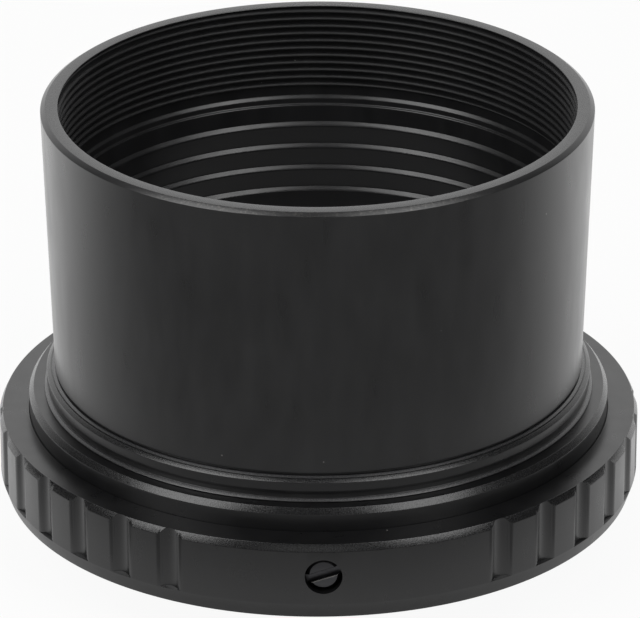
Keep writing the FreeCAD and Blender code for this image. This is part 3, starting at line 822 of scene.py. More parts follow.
def bayonet_tree(shank_drill: float = 8.0, lock_drill: float = 4.0, lug_steps: int = 72) -> ShapeTree:
    """Tree that drills the flange for its screws and lock pin and adds the three lugs to the tube.

    Args:
        shank_drill: The length of the drill for the screws' shanks, in depths of their countersinks.
        lock_drill: The length of the drill for the lock pin, in pin radii.
        lug_steps: How many points a lug's arc has.

    Returns:
        The tree.
    """
    sizes = ("Screw circle", "Screw azimuth", "Shank radius", "Head radius", "Flange", "Lock azimuth",
             "Lock radius", "Lug radius", "Lug width", "Lug height", "Lug thickness", "Lug angle",
             "Key angle", "Lug azimuth")
    shape = ShapeTree("bayonet_cuts", sizes, ("Screws", "Lugs"))
    given = shape.given
    depth = shape.add(MATH, (given["Head radius"], given["Shank radius"]), operation="SUBTRACT")
    shank_depth = shape.add(MATH, (depth, shank_drill), operation="MULTIPLY")
    through = shape.add(CYLINDER, {
        "Vertices": TOOL_SEGMENTS, "Radius": given["Shank radius"], "Depth": shank_depth})
    sink = shape.add("GeometryNodeMeshCone", {
        "Vertices": TOOL_SEGMENTS, "Radius Top": given["Shank radius"],
        "Radius Bottom": shape.add(MATH, (given["Head radius"], depth), operation="ADD"),
        "Depth": shape.add(MATH, (depth, 2.0), operation="MULTIPLY")})
    lowered = shape.add(VECTOR, {2: shape.add(MATH, (depth, -1.0), operation="MULTIPLY")})
    sunk = shape.add(MOVED, {0: sink, "Translation": lowered})
    azimuth = evenly_round(shape, given["Screws"], given["Screw azimuth"])
    holes = polar_points(shape, given["Screws"], given["Screw circle"], azimuth, given["Flange"])
    lock_depth = shape.add(MATH, (given["Lock radius"], lock_drill), operation="MULTIPLY")
    lock = shape.add(CYLINDER, {
        "Vertices": TOOL_SEGMENTS, "Radius": given["Lock radius"], "Depth": lock_depth})
    lock_place = polar_points(shape, 1, given["Screw circle"], given["Lock azimuth"], given["Flange"])
    drilled = given["Geometry"]
    for tool, places in ((through, holes), (sunk, holes), (lock, lock_place)):
        drilled = shape.add(BOOLEAN, (drilled, [shape.copies(tool, places)]), **CUT)

    section = shape.add("GeometryNodeCurvePrimitiveQuadrilateral", {
        "Width": given["Lug width"], "Height": given["Lug thickness"]})
    index = shape.add("GeometryNodeInputIndex")
    turn = evenly_round(shape, given["Lugs"], given["Lug azimuth"])
    stand = shape.add(VECTOR, {2: given["Lug height"]})
    places = shape.add("GeometryNodePoints", {"Count": given["Lugs"], "Position": stand})
    lugs = []
    for angle, operation in ((given["Key angle"], "EQUAL"), (given["Lug angle"], "NOT_EQUAL")):
        arc = shape.add("GeometryNodeCurveArc", {
            "Resolution": lug_steps, "Radius": given["Lug radius"], "Sweep Angle": angle,
            "Start Angle": shape.add(MATH, (angle, -0.5), operation="MULTIPLY")}, mode="RADIUS")
        level = shape.add("GeometryNodeSetCurveNormal", {0: arc}, mode="Z_UP")
        lug = shape.add("GeometryNodeCurveToMesh", {
            "Curve": level, "Profile Curve": section, "Fill Caps": True})
        chosen = shape.add("FunctionNodeCompare", {2: index, 3: 0}, data_type="INT", operation=operation)
        lugs.append(shape.copies(lug, places, {2: turn}, chosen))
    joined = shape.add("GeometryNodeJoinGeometry", {0: [*lugs, drilled]})
    shape.finish(joined, dressed=True)
    return shape


def flange_screw_tree(stray: float = 1.7) -> ShapeTree:
    """Tree that cuts a cross recess into one countersunk screw and lays a screw in each hole of the flange.

    Args:
        stray: How much further than its azimuth each screw is turned, so that no two crosses stand alike.

    Returns:
        The tree.
    """
    sizes = ("Circle", "Azimuth", "Height", "Recess width", "Recess length", "Recess depth")
    shape = ShapeTree("flange_screws", sizes, ("Screws",))
    given = shape.given
    tall = shape.add(MATH, (given["Recess depth"], 2.0), operation="MULTIPLY")
    bars = [shape.add(VECTOR, (across, along, tall))
            for across, along in ((given["Recess width"], given["Recess length"]),
                                  (given["Recess length"], given["Recess width"]))]
    screw = given["Geometry"]
    for bar in bars:
        screw = shape.add(BOOLEAN, (screw, [shape.add(BLOCK, {"Size": bar})]), **CUT)
    azimuth = evenly_round(shape, given["Screws"], given["Azimuth"])
    places = polar_points(shape, given["Screws"], given["Circle"], azimuth, given["Height"])
    turn = shape.add(MATH, (azimuth, stray), operation="MULTIPLY")
    shape.finish(shape.copies(screw, places, {2: turn}), dressed=True)
    return shape


def set_screw_tree() -> ShapeTree:
    """Tree that slots a set screw and lays it along its radius.

    Returns:
        The tree. The blank stands on the light path, with its heights as its radii.
    """
    sizes = ("Slot width", "Slot length", "Slot depth", "Slot edge", "Slot turn", "Face", "Azimuth", "Height")
    shape = ShapeTree("set_screw", sizes)
    given = shape.given
    tall = shape.add(MATH, (given["Slot depth"], 2.0), operation="MULTIPLY")
    saw = shape.add(BLOCK, {"Size": shape.add(VECTOR, (given["Slot width"], given["Slot length"], tall))})
    turn = shape.add(VECTOR, {2: given["Slot turn"]})
    lift = shape.add(VECTOR, {2: given["Face"]})
    placed = shape.add(MOVED, {0: saw, "Translation": lift, "Rotation": turn})
    slotted = shape.add(BOOLEAN, (given["Geometry"], [placed]), **CUT)
    wide = shape.add(MATH, (given["Slot edge"], 2.0, given["Slot width"]), operation="MULTIPLY_ADD")
    side = shape.add(MATH, (wide, math.sqrt(0.5)), operation="MULTIPLY")
    bar = shape.add(BLOCK, {"Size": shape.add(VECTOR, (side, given["Slot length"], side))})
    bare = shape.add(DRESSED, {"Geometry": bar, "Material": given["Finish"]})
    cornerwise = shape.add(VECTOR, {1: math.pi / 4, 2: given["Slot turn"]})
    groove = shape.add(MOVED, {0: bare, "Translation": lift, "Rotation": cornerwise})
    slotted = shape.add(BOOLEAN, (slotted, [groove]), **CUT)
    facing = shape.add(VECTOR, {1: math.pi / 2, 2: given["Azimuth"]})
    level = shape.add(VECTOR, {2: given["Height"]})
    laid = shape.add(MOVED, {0: slotted, "Translation": level, "Rotation": facing})
    shape.finish(laid, dressed=False)
    return shape


# Pieces


def hand_over(piece: bpy.types.Object, body: str, slot: str, *nodes: str) -> None:
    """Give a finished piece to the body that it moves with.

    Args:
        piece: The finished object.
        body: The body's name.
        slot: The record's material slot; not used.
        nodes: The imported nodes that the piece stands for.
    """
    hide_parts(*nodes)
    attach(piece, body)
    LOG.info("%s rides on %s: %d faces", piece.name, body, len(piece.data.polygons))


def turn_from_x(azimuth: float) -> float:
    """The turn from +X, in radians, that faces an azimuth in degrees."""
    return math.radians(azimuth + FRONT)


@dataclass(frozen=True)
class Extent:
    """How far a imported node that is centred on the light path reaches, in millimetres."""

    radius: float
    foot: float
    top: float

    @classmethod
    def of(cls, node: str) -> Extent:
        """Read a node's extent from the frame.

        Args:
            node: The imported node's name.

        Returns:
            Its radius, foot and top.
        """
        low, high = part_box(node)
        return cls(min(high.x, high.y, -low.x, -low.y) / MM, low.z / MM, high.z / MM)


@dataclass(frozen=True)
class Thread:
    """A thread's form: pitch and height in millimetres, root and crest as shares of the pitch."""

    pitch: float
    height: float
    root: float
    crest: float
    steps: int

    def cut(self, tree: ShapeTree, piece: bpy.types.Object, finish: Finish, radius: float, foot: float,
            turns: float, inward: bool = False) -> None:
        """Add the thread to a turned piece.

        Args:
            tree: The tree that adds a thread.
            piece: The piece.
            finish: What the thread is dressed in.
            radius: The radius of the wall that it stands on.
            foot: The height at which it starts.
            turns: How many turns it has.
            inward: Whether it stands inward, as in a nut.
        """
        height = -self.height if inward else self.height
        tree.run(piece, finish, radius=radius * MM, foot=foot * MM, pitch=self.pitch * MM, turns=turns,
                 height=height * MM, root=self.pitch * self.root * MM, crest=self.pitch * self.crest * MM,
                 steps=self.steps)


FILTER_THREAD = Thread(pitch=0.75, height=0.33, root=0.8, crest=0.16, steps=240)
TEE_THREAD = Thread(pitch=0.75, height=0.4, root=0.86, crest=0.14, steps=200)


@dataclass
class Nosepiece:
    """The two-inch barrel and the threaded collar that carries it."""

    barrel: Extent
    collar: Extent
    taper: float = 0.78
    rim_edge: float = 0.44
    rim_edge_height: float = 0.32
    mouth_wall: float = 1.4
    mouth_lip: float = 0.21
    mouth_edge: float = 0.05
    thread_depth: float = 9.25
    thread_runout: float = 0.8
    runout_step: float = 0.26
    thread_foot: float = 8.2675
    thread_turns: float = 10.55
    runout_slope: float = 0.06
    runout_round: float = 0.09
    ridge_step: float = 0.9
    ridge_count: int = 4
    ridge_pitch: float = 2.26
    ridge_drop: float = 12.07
    ridge_depth: float = 0.38
    ledge_drop: float = 0.04
    ledge_rise: float = 0.26
    ledge_round: float = 0.19
    neck_cut: float = 0.22
    neck_height: float = 0.37
    neck_wall: float = 1.4
    lip_reach: float = 0.52
    lip_height: float = 0.13
    lip_line: float = 0.26
    lip_slope: float = 0.02
    lip_nose: float = 0.03
    spigot_length: float = 3.6
    spigot_wall: float = 1.6
    spigot_relief: float = 0.3
    spigot_lead: float = 0.2
    relief_cone: float = 0.2
    collar_height: float = 2.02
    collar_edge: float = 0.37
    collar_edge_height: float = 0.24
    undercut_height: float = 0.97
    undercut: float = 0.12
    undercut_slope: float = 0.3
    bead_reach: float = 0.26
    bead_height: float = 0.26
    bead_shoulder: float = 0.1
    bead_side: float = 0.05
    bead_foot: float = 0.1
    tee_spigot_length: float = 4.2
    tee_spigot_wall: float = 1.4
    tee_spigot_lead: float = 0.3
    tee_thread: float = 21.0
    tee_thread_start: float = 0.45
    tee_thread_turns: float = 4.6
    thread_play: float = 0.06

    def __post_init__(self) -> None:
        """Work out the radii that the barrel and the collar share."""
        self.mouth = self.barrel.radius - self.mouth_wall
        self.foot = self.barrel.radius - self.taper
        self.spigot = self.foot - self.neck_wall

    def barrel_outline(self) -> list[Corner]:
        """The barrel's outline, from the rim down the tapering outside and up the ridged bore.

        Returns:
            The corners.
        """
        size = self.barrel
        neck = self.foot - self.neck_cut
        neck_top = size.foot + self.neck_height
        lip = size.foot + self.lip_height
        nose = neck + self.lip_reach
        foot_bore = self.spigot + self.thread_play
        foot_bore_top = size.foot + self.spigot_length + self.spigot_relief
        ridge_bore = self.mouth - self.ridge_step
        hollow = ridge_bore + self.ridge_depth
        thread_end = size.top - self.thread_depth
        runout = self.mouth - self.runout_step
        mouth_lip = self.mouth - self.mouth_lip
        outline = [
            Corner(size.radius - self.rim_edge, size.top, Face.EDGE, Break.CRISP),
            Corner(size.radius, size.top - self.rim_edge_height, Face.WALL, Break.SMOOTH),
            Corner(self.foot, neck_top, Face.BORE, Break.EASED),
            Corner(neck, neck_top, Face.BORE, Break.CRISP),
            Corner(neck, lip, Face.BORE, Break.KEEN),
            Corner(nose - self.lip_line, lip - self.lip_slope, Face.LIP, Break.KEEN),
            Corner(nose - self.lip_nose, size.foot + self.lip_slope, Face.BORE, Break.FINE),
            Corner(nose, size.foot, Face.BORE, Break.SHARP),
            Corner(foot_bore, size.foot, Face.BORE, Break.EASED),
            Corner(foot_bore, foot_bore_top, Face.BORE, Break.EASED),
            Corner(ridge_bore, foot_bore_top + self.relief_cone, Face.BORE, Break.EASED),
        ]
        for index in reversed(range(self.ridge_count)):
            ledge = size.top - self.ridge_drop - self.ridge_pitch * index
            outline.append(Corner(ridge_bore, ledge - self.ledge_drop, Face.BORE, self.ledge_round))
            outline.append(Corner(hollow, ledge + self.ledge_rise, Face.BORE, Break.EASED))
        outline += [
            Corner(hollow, thread_end - self.thread_runout - self.runout_slope, Face.BORE, Break.SOFT),
            Corner(runout, thread_end - self.thread_runout, Face.BORE, Break.SOFT),
            Corner(runout, thread_end - self.runout_step, Face.BORE, self.runout_round),
            Corner(self.mouth, thread_end, Face.BORE, Break.ROUND),
            Corner(self.mouth, size.top - self.mouth_lip, Face.BORE, Break.EASED),
            Corner(mouth_lip, size.top - self.mouth_edge, Face.CHAMFER, Break.KEEN),
            Corner(mouth_lip + self.mouth_edge, size.top, Face.CHAMFER, Break.KEEN),
        ]
        return outline

    def build_barrel(self, thread: ShapeTree) -> None:
        """Turn the barrel, cut its mouth's thread and hand it over.

        Args:
            thread: The tree that adds a thread.
        """
        barrel = turned_mesh("two_inch_barrel", self.barrel_outline(), BARREL_FINISHES)
        crisp(barrel)
        FILTER_THREAD.cut(thread, barrel, THREAD_BLACK, radius=self.mouth,
                          foot=self.barrel.top - self.thread_foot, turns=self.thread_turns, inward=True)
        hand_over(barrel, "nosepiece", "anodised_barrel", "nosepiece_barrel")

    def collar_outline(self) -> list[Corner]:
        """The collar's outline: spigots above and below a low wall that is undercut over a bead at its foot.

        Returns:
            The corners.
        """
        wall, spigot_foot, spigot_top = self.collar.radius, self.collar.foot, self.collar.top
        foot = spigot_foot + self.tee_spigot_length
        top = foot + self.collar_height
        tee_root = self.tee_thread - TEE_THREAD.height
        bore = self.tee_thread - self.tee_spigot_wall
        bead = wall + self.bead_reach
        undercut_top = foot + self.undercut_height
        return [
            Corner(wall - self.collar_edge, top, Face.CHAMFER, Break.KEEN),
            Corner(wall, top - self.collar_edge_height, Face.WALL, Break.SMOOTH),
            Corner(wall, undercut_top, Face.BORE, Break.SOFT),
            Corner(wall - self.undercut, undercut_top - self.undercut_slope, Face.BORE, Break.SOFT),
            Corner(wall - self.undercut, foot + self.bead_height, Face.BORE, Break.CRISP),
            Corner(bead - self.lip_line, foot + self.bead_height - self.lip_slope, Face.LIP, Break.KEEN),
            Corner(bead - self.lip_nose, foot + self.bead_shoulder, Face.BORE, Break.KEEN),
            Corner(bead, foot + self.bead_side, Face.BORE, Break.SHARP),
            Corner(bead - self.bead_foot, foot, Face.BORE, Break.KEEN),
            Corner(tee_root, foot, Face.BORE, Break.EASED),
            Corner(tee_root, spigot_foot + self.tee_spigot_lead, Face.BORE, Break.EASED),
            Corner(tee_root - self.tee_spigot_lead, spigot_foot, Face.BORE, Break.EASED),
            Corner(bore, spigot_foot, Face.BORE, Break.EASED),
            Corner(bore, foot, Face.BORE, Break.EASED),
            Corner(self.spigot - self.spigot_wall, spigot_top, Face.BORE, Break.EASED),
            Corner(self.spigot - self.spigot_lead, spigot_top, Face.BORE, Break.CRISP),
            Corner(self.spigot, spigot_top - self.spigot_lead, Face.BORE, Break.CRISP),
            Corner(self.spigot, top, Face.BORE, Break.KEEN),
        ]

    def build_collar(self, thread: ShapeTree) -> None:
        """Turn the collar, cut its T thread and hand it over.

        Args:
            thread: The tree that adds a thread.
        """
        collar = turned_mesh("threaded_collar", self.collar_outline(), COLLAR_FINISHES)
        crisp(collar)
        TEE_THREAD.cut(thread, collar, BORE_BLACK, radius=self.tee_thread - TEE_THREAD.height,
                       foot=self.collar.foot + self.tee_thread_start, turns=self.tee_thread_turns)
        hand_over(collar, "thread_collar", "anodised_barrel", "thread_collar")


@dataclass
class TeeRing:
    """The inner ring with the T thread, which the set screws hold in the grip ring by its groove."""

    size: Extent
    groove: float
    edge: float = 0.45
    edge_height: float = 0.55
    groove_depth: float = 0.9
    lead: float = 0.35
    lead_height: float = 0.4
    thread: float = 21.06
    thread_start: float = 0.5
    thread_turns: float = 7.6

    def outline(self) -> list[Corner]:
        """The ring's outline, from its seat down the outside and up the bore.

        Returns:
            The corners.
        """
        radius, foot, seat = self.size.radius, self.size.foot, self.size.top
        root = self.thread + TEE_THREAD.height
        return [
            Corner(radius - self.edge, seat, Face.CHAMFER, Break.KEEN),
            Corner(radius, seat - self.edge_height, Face.WALL, Break.EASED),
            Corner(radius, self.groove + self.groove_depth, Face.BORE, Break.KEEN),
            Corner(radius - self.groove_depth, self.groove, Face.BORE, Break.KEEN),
            Corner(radius, self.groove - self.groove_depth, Face.BORE, Break.KEEN),
            Corner(radius, foot, Face.BORE, Break.EASED),
            Corner(root, foot, Face.BORE, Break.EASED),
            Corner(root, seat - self.lead_height, Face.CHAMFER, Break.EASED),
            Corner(root + self.lead, seat, Face.SEAT, Break.CRISP),
        ]

    def build(self, thread: ShapeTree) -> None:
        """Turn the ring, cut its thread and hand it over.

        Args:
            thread: The tree that adds a thread.
        """
        ring = turned_mesh("tee_ring", self.outline(), RING_FINISHES)
        crisp(ring)
        TEE_THREAD.cut(thread, ring, BORE_BLACK, radius=self.thread + TEE_THREAD.height,
                       foot=self.size.foot + self.thread_start, turns=self.thread_turns, inward=True)
        hand_over(ring, "t_ring", "anodised_ring", "t_ring")


@dataclass
class GripRing:
    """The outer ring, scalloped for the fingers, with a plain pad for each set screw."""

    size: Extent
    plate: Extent
    tee_ring: Extent
    hole_height: float
    play: float = 0.03
    plate_play: float = 0.05
    top_edge: float = 0.33
    top_edge_height: float = 0.67
    foot_edge: float = 0.5
    foot_edge_height: float = 1.46
    shelf_thickness: float = 1.4
    shelf_bore: float = 22.6
    bore_edge: float = 0.03
    segments: int = 720
    pads: int = 3
    pad_azimuth: float = 3.3
    scallops: int = 7
    scallop_edge: float = 1.0
    scallop_slope: float = 24.0
    scallop_pitch: float = 10.0
    scallop_radius: float = 1.5
    scallop_depth: float = 0.4
    hole_radius: float = 1.69
    hole_mouth: float = 1.65
    hole_edge: float = 0.02
    hole_azimuth: float = 0.8

    def outline(self) -> list[Corner]:
        """The blank's outline, from its top down the outside and up through the shelf.

        Returns:
            The corners.
        """
        radius, foot, top = self.size.radius, self.size.foot, self.size.top
        bore = self.tee_ring.radius + self.play
        recess = self.plate.radius + self.plate_play
        shelf = self.plate.top
        return [
            Corner(radius - self.top_edge, top, Face.CHAMFER, Break.CRISP),
            Corner(radius, top - self.top_edge_height, Face.WALL, Break.CRISP),
            Corner(radius, foot + self.foot_edge_height, Face.WALL, Break.ROUND),
            Corner(radius - self.foot_edge, foot, Face.BORE, Break.EASED),
            Corner(recess, foot, Face.BORE, Break.EASED),
            Corner(recess, shelf, Face.BORE, Break.CRISP),
            Corner(self.shelf_bore, shelf, Face.BORE, Break.EASED),
            Corner(self.shelf_bore, shelf + self.shelf_thickness, Face.BORE, Break.EASED),
            Corner(bore, shelf + self.shelf_thickness, Face.BORE, Break.CRISP),
            Corner(bore, top - self.bore_edge, Face.SEAT, Break.SHARP),
            Corner(bore + self.bore_edge, top, Face.SEAT, Break.SHARP),
        ]

    def build(self) -> None:
        """Turn the blank, cut the scallops and holes and hand the ring over."""
        ring = turned_mesh("scalloped_grip", self.outline(), RING_FINISHES, self.segments)
        radius, foot, top = self.size.radius, self.size.foot, self.size.top
        grip_tree().run(
            ring, SEAT_PAINTED_SHADE, radius=radius * MM, scallop_radius=self.scallop_radius * MM,
            scallop_depth=self.scallop_depth * MM, scallop_foot=(foot + self.foot_edge_height) * MM,
            scallop_height=(top - foot) * MM, scallop_pitch=math.radians(self.scallop_pitch),
            scallop_edge=self.scallop_edge * MM, foot_slope=math.radians(self.scallop_slope),
            pad_azimuth=turn_from_x(self.pad_azimuth), hole_radius=self.hole_radius * MM,
            hole_mouth=self.hole_mouth * MM, hole_edge=self.hole_edge * MM, hole_height=self.hole_height * MM,
            hole_azimuth=turn_from_x(self.hole_azimuth), pads=self.pads, scallops=self.scallops)
        crisp(ring)
        hand_over(ring, "camera_side", "anodised_ring", "grip_ring")


@dataclass
class SetScrews:
    """The slotted set screws, each along its own radius in a pad of the grip ring."""

    grip: Extent
    height: float
    count: int = 3
    azimuth: float = 0.8
    sunk: float = 0.47
    length: float = 3.14
    radius: float = 1.65
    edge: float = 0.4
    slot_width: float = 0.8
    slot_length: float = 4.0
    slot_depth: float = 0.5
    slot_edge: float = 0.06
    slot_tilt: float = 18.0
    slot_turn: float = 47.0
    segments: int = 96

    def __post_init__(self) -> None:
        """Work out where the outer face lies."""
        self.face = self.grip.radius - self.sunk

    def outline(self) -> list[Corner]:
        """A screw's outline, standing on its cone point.

        Returns:
            The corners.
        """
        tip = self.face - self.length
        return [
            Corner(0.0, tip, Face.WALL, Break.SHARP),
            Corner(self.radius, tip + self.radius, Face.WALL, Break.KEEN),
            Corner(self.radius, self.face - self.edge, Face.WALL, Break.KEEN),
            Corner(self.radius - self.edge, self.face, Face.WALL, Break.KEEN),
            Corner(0.0, self.face, Face.WALL, Break.SHARP),
        ]

    def build(self) -> None:
        """Turn, slot and lay each screw, and hand it over to its own body."""
        tree = set_screw_tree()
        for index in range(self.count):
            name = f"set_screw_{index + 1}"
            screw = turned_mesh(f"slotted_{name}", self.outline(), (BLACK_OXIDE,), self.segments)
            tree.run(screw, SLOT_EDGE, slot_width=self.slot_width * MM, slot_length=self.slot_length * MM,
                     slot_depth=self.slot_depth * MM, slot_edge=self.slot_edge * MM,
                     slot_turn=math.radians(self.slot_tilt + self.slot_turn * index), face=self.face * MM,
                     azimuth=turn_from_x(self.azimuth + 360 / self.count * index), height=self.height * MM)
            crisp(screw)
            hand_over(screw, name, "set_screw_black", name)


@dataclass
class Bayonet:
    """The flange plate with its tube and lugs, and the countersunk screws that hold it."""

    size: Extent
    flange: float
    tube: float = 21.9
    tube_wall: float = 1.3
    tube_edge: float = 0.3
    edge: float = 0.2
    lug_reach: float = 1.5
    lug_root: float = 0.5
    lug_thickness: float = 1.1
    lug_drop: float = 2.05
    lug_angle: float = 56.0
    key_angle: float = 68.0
    lug_azimuth: float = 20.0
    lugs: int = 3
    lock_radius: float = 1.7
    lock_azimuth: float = 98.0
    screws: int = 4
    screw_circle: float = 25.3
    screw_azimuth: float = 53.0
    screw_shank: float = 1.0
    screw_head: float = 1.85
    screw_length: float = 2.5
    screw_gap: float = 0.02
    screw_segments: int = 72
    head_play: float = 0.04
    hole_gap: float = 0.04
    recess_width: float = 0.5
    recess_length: float = 2.1
    recess_depth: float = 0.6

    def plate_outline(self) -> list[Corner]:
        """The plate's outline without its lugs.

        Returns:
            The corners.
        """
        radius, foot, top = self.size.radius, self.size.foot, self.size.top
        bore = self.tube - self.tube_wall
        return [
            Corner(radius, top, Face.WALL, Break.EASED),
            Corner(radius, self.flange + self.edge, Face.WALL, Break.CRISP),
            Corner(radius - self.edge, self.flange, Face.WALL, Break.CRISP),
            Corner(self.tube, self.flange, Face.WALL, Break.SMOOTH),
            Corner(self.tube, foot + self.tube_edge, Face.WALL, Break.EASED),
            Corner(self.tube - self.tube_edge, foot, Face.WALL, Break.EASED),
            Corner(bore + self.edge, foot, Face.WALL, Break.EASED),
            Corner(bore, foot + self.edge, Face.WALL, Break.EASED),
            Corner(bore, top, Face.WALL, Break.EASED),
        ]

    def build_plate(self) -> None:
        """Turn, drill and finish the plate and hand it over."""
        plate = turned_mesh("bayonet_flange", self.plate_outline(), (SATIN_CHROME,))
        width = self.lug_reach + self.lug_root
        bayonet_tree().run(
            plate, SATIN_CHROME, screw_circle=self.screw_circle * MM,
            screw_azimuth=turn_from_x(self.screw_azimuth),
            shank_radius=(self.screw_shank + self.hole_gap) * MM,
            head_radius=(self.screw_head + self.hole_gap) * MM, flange=self.flange * MM,
            lock_azimuth=turn_from_x(self.lock_azimuth), lock_radius=self.lock_radius * MM,
            lug_radius=(self.tube + self.lug_reach - width / 2) * MM, lug_width=width * MM,
            lug_height=(self.flange - self.lug_drop - self.lug_thickness / 2) * MM,
            lug_thickness=self.lug_thickness * MM, lug_angle=math.radians(self.lug_angle),
            key_angle=math.radians(self.key_angle), lug_azimuth=turn_from_x(self.lug_azimuth),
            screws=self.screws, lugs=self.lugs)
        crisp(plate)
        hand_over(plate, "camera_side", "bayonet_chrome", "bayonet_plate")

    def screw_outline(self) -> list[Corner]:
        """A countersunk screw's outline, head down.

        Returns:
            The corners.
        """
        neck = self.screw_head - self.screw_shank
        return [
            Corner(0.0, 0.0, Face.WALL, Break.SHARP),
            Corner(self.screw_head - self.head_play, 0.0, Face.WALL, Break.KEEN),
            Corner(self.screw_shank, neck - self.head_play, Face.WALL, Break.CRISP),
            Corner(self.screw_shank, self.screw_length, Face.WALL, Break.CRISP),
            Corner(0.0, self.screw_length, Face.WALL, Break.SHARP),
        ]

    def build_screws(self) -> None:
        """Make the four screws as one piece, because one body carries them all."""
        screws = turned_mesh("flange_screws", self.screw_outline(), (PLATED_STEEL,), self.screw_segments)
        flange_screw_tree().run(
            screws, PLATED_STEEL, circle=self.screw_circle * MM, azimuth=turn_from_x(self.screw_azimuth),
            height=(self.flange + self.screw_gap) * MM, recess_width=self.recess_width * MM,
            recess_length=self.recess_length * MM, recess_depth=self.recess_depth * MM, screws=self.screws)
        crisp(screws)
        nodes = [f"plate_screw_{index + 1}" for index in range(self.screws)]
        hand_over(screws, "camera_side", "plate_screw_steel", *nodes)


# Studio


@dataclass(frozen=True)
class Softbox:
    """A rectangular soft lamp that looks at the object, with its lengths in metres."""

    name: str
    azimuth: float
    elevation: float
    distance: float
    width: float
    height: float
    radiance: float
    lean: float = 0.0

    def build(self, target: Vector) -> None:
        """Hang the lamp.

        Args:
            target: What it looks at, in metres.
        """
        data = bpy.data.lights.new(self.name, "AREA")
        data.shape = "RECTANGLE"
        data.size = self.width
        data.size_y = self.height
        data.energy = self.radiance * math.pi * self.width * self.height
        lamp = bpy.data.objects.new(self.name, data)
        turn, rise = turn_from_x(self.azimuth), math.radians(self.elevation)
        away = Vector((math.cos(turn) * math.cos(rise), math.sin(turn) * math.cos(rise), math.sin(rise)))
        lamp.location = target + away * self.distance
        leaning = Quaternion(away, math.radians(self.lean))
        lamp.rotation_euler = (leaning @ away.to_track_quat("Z", "Y")).to_euler()
        bpy.context.scene.collection.objects.link(lamp)


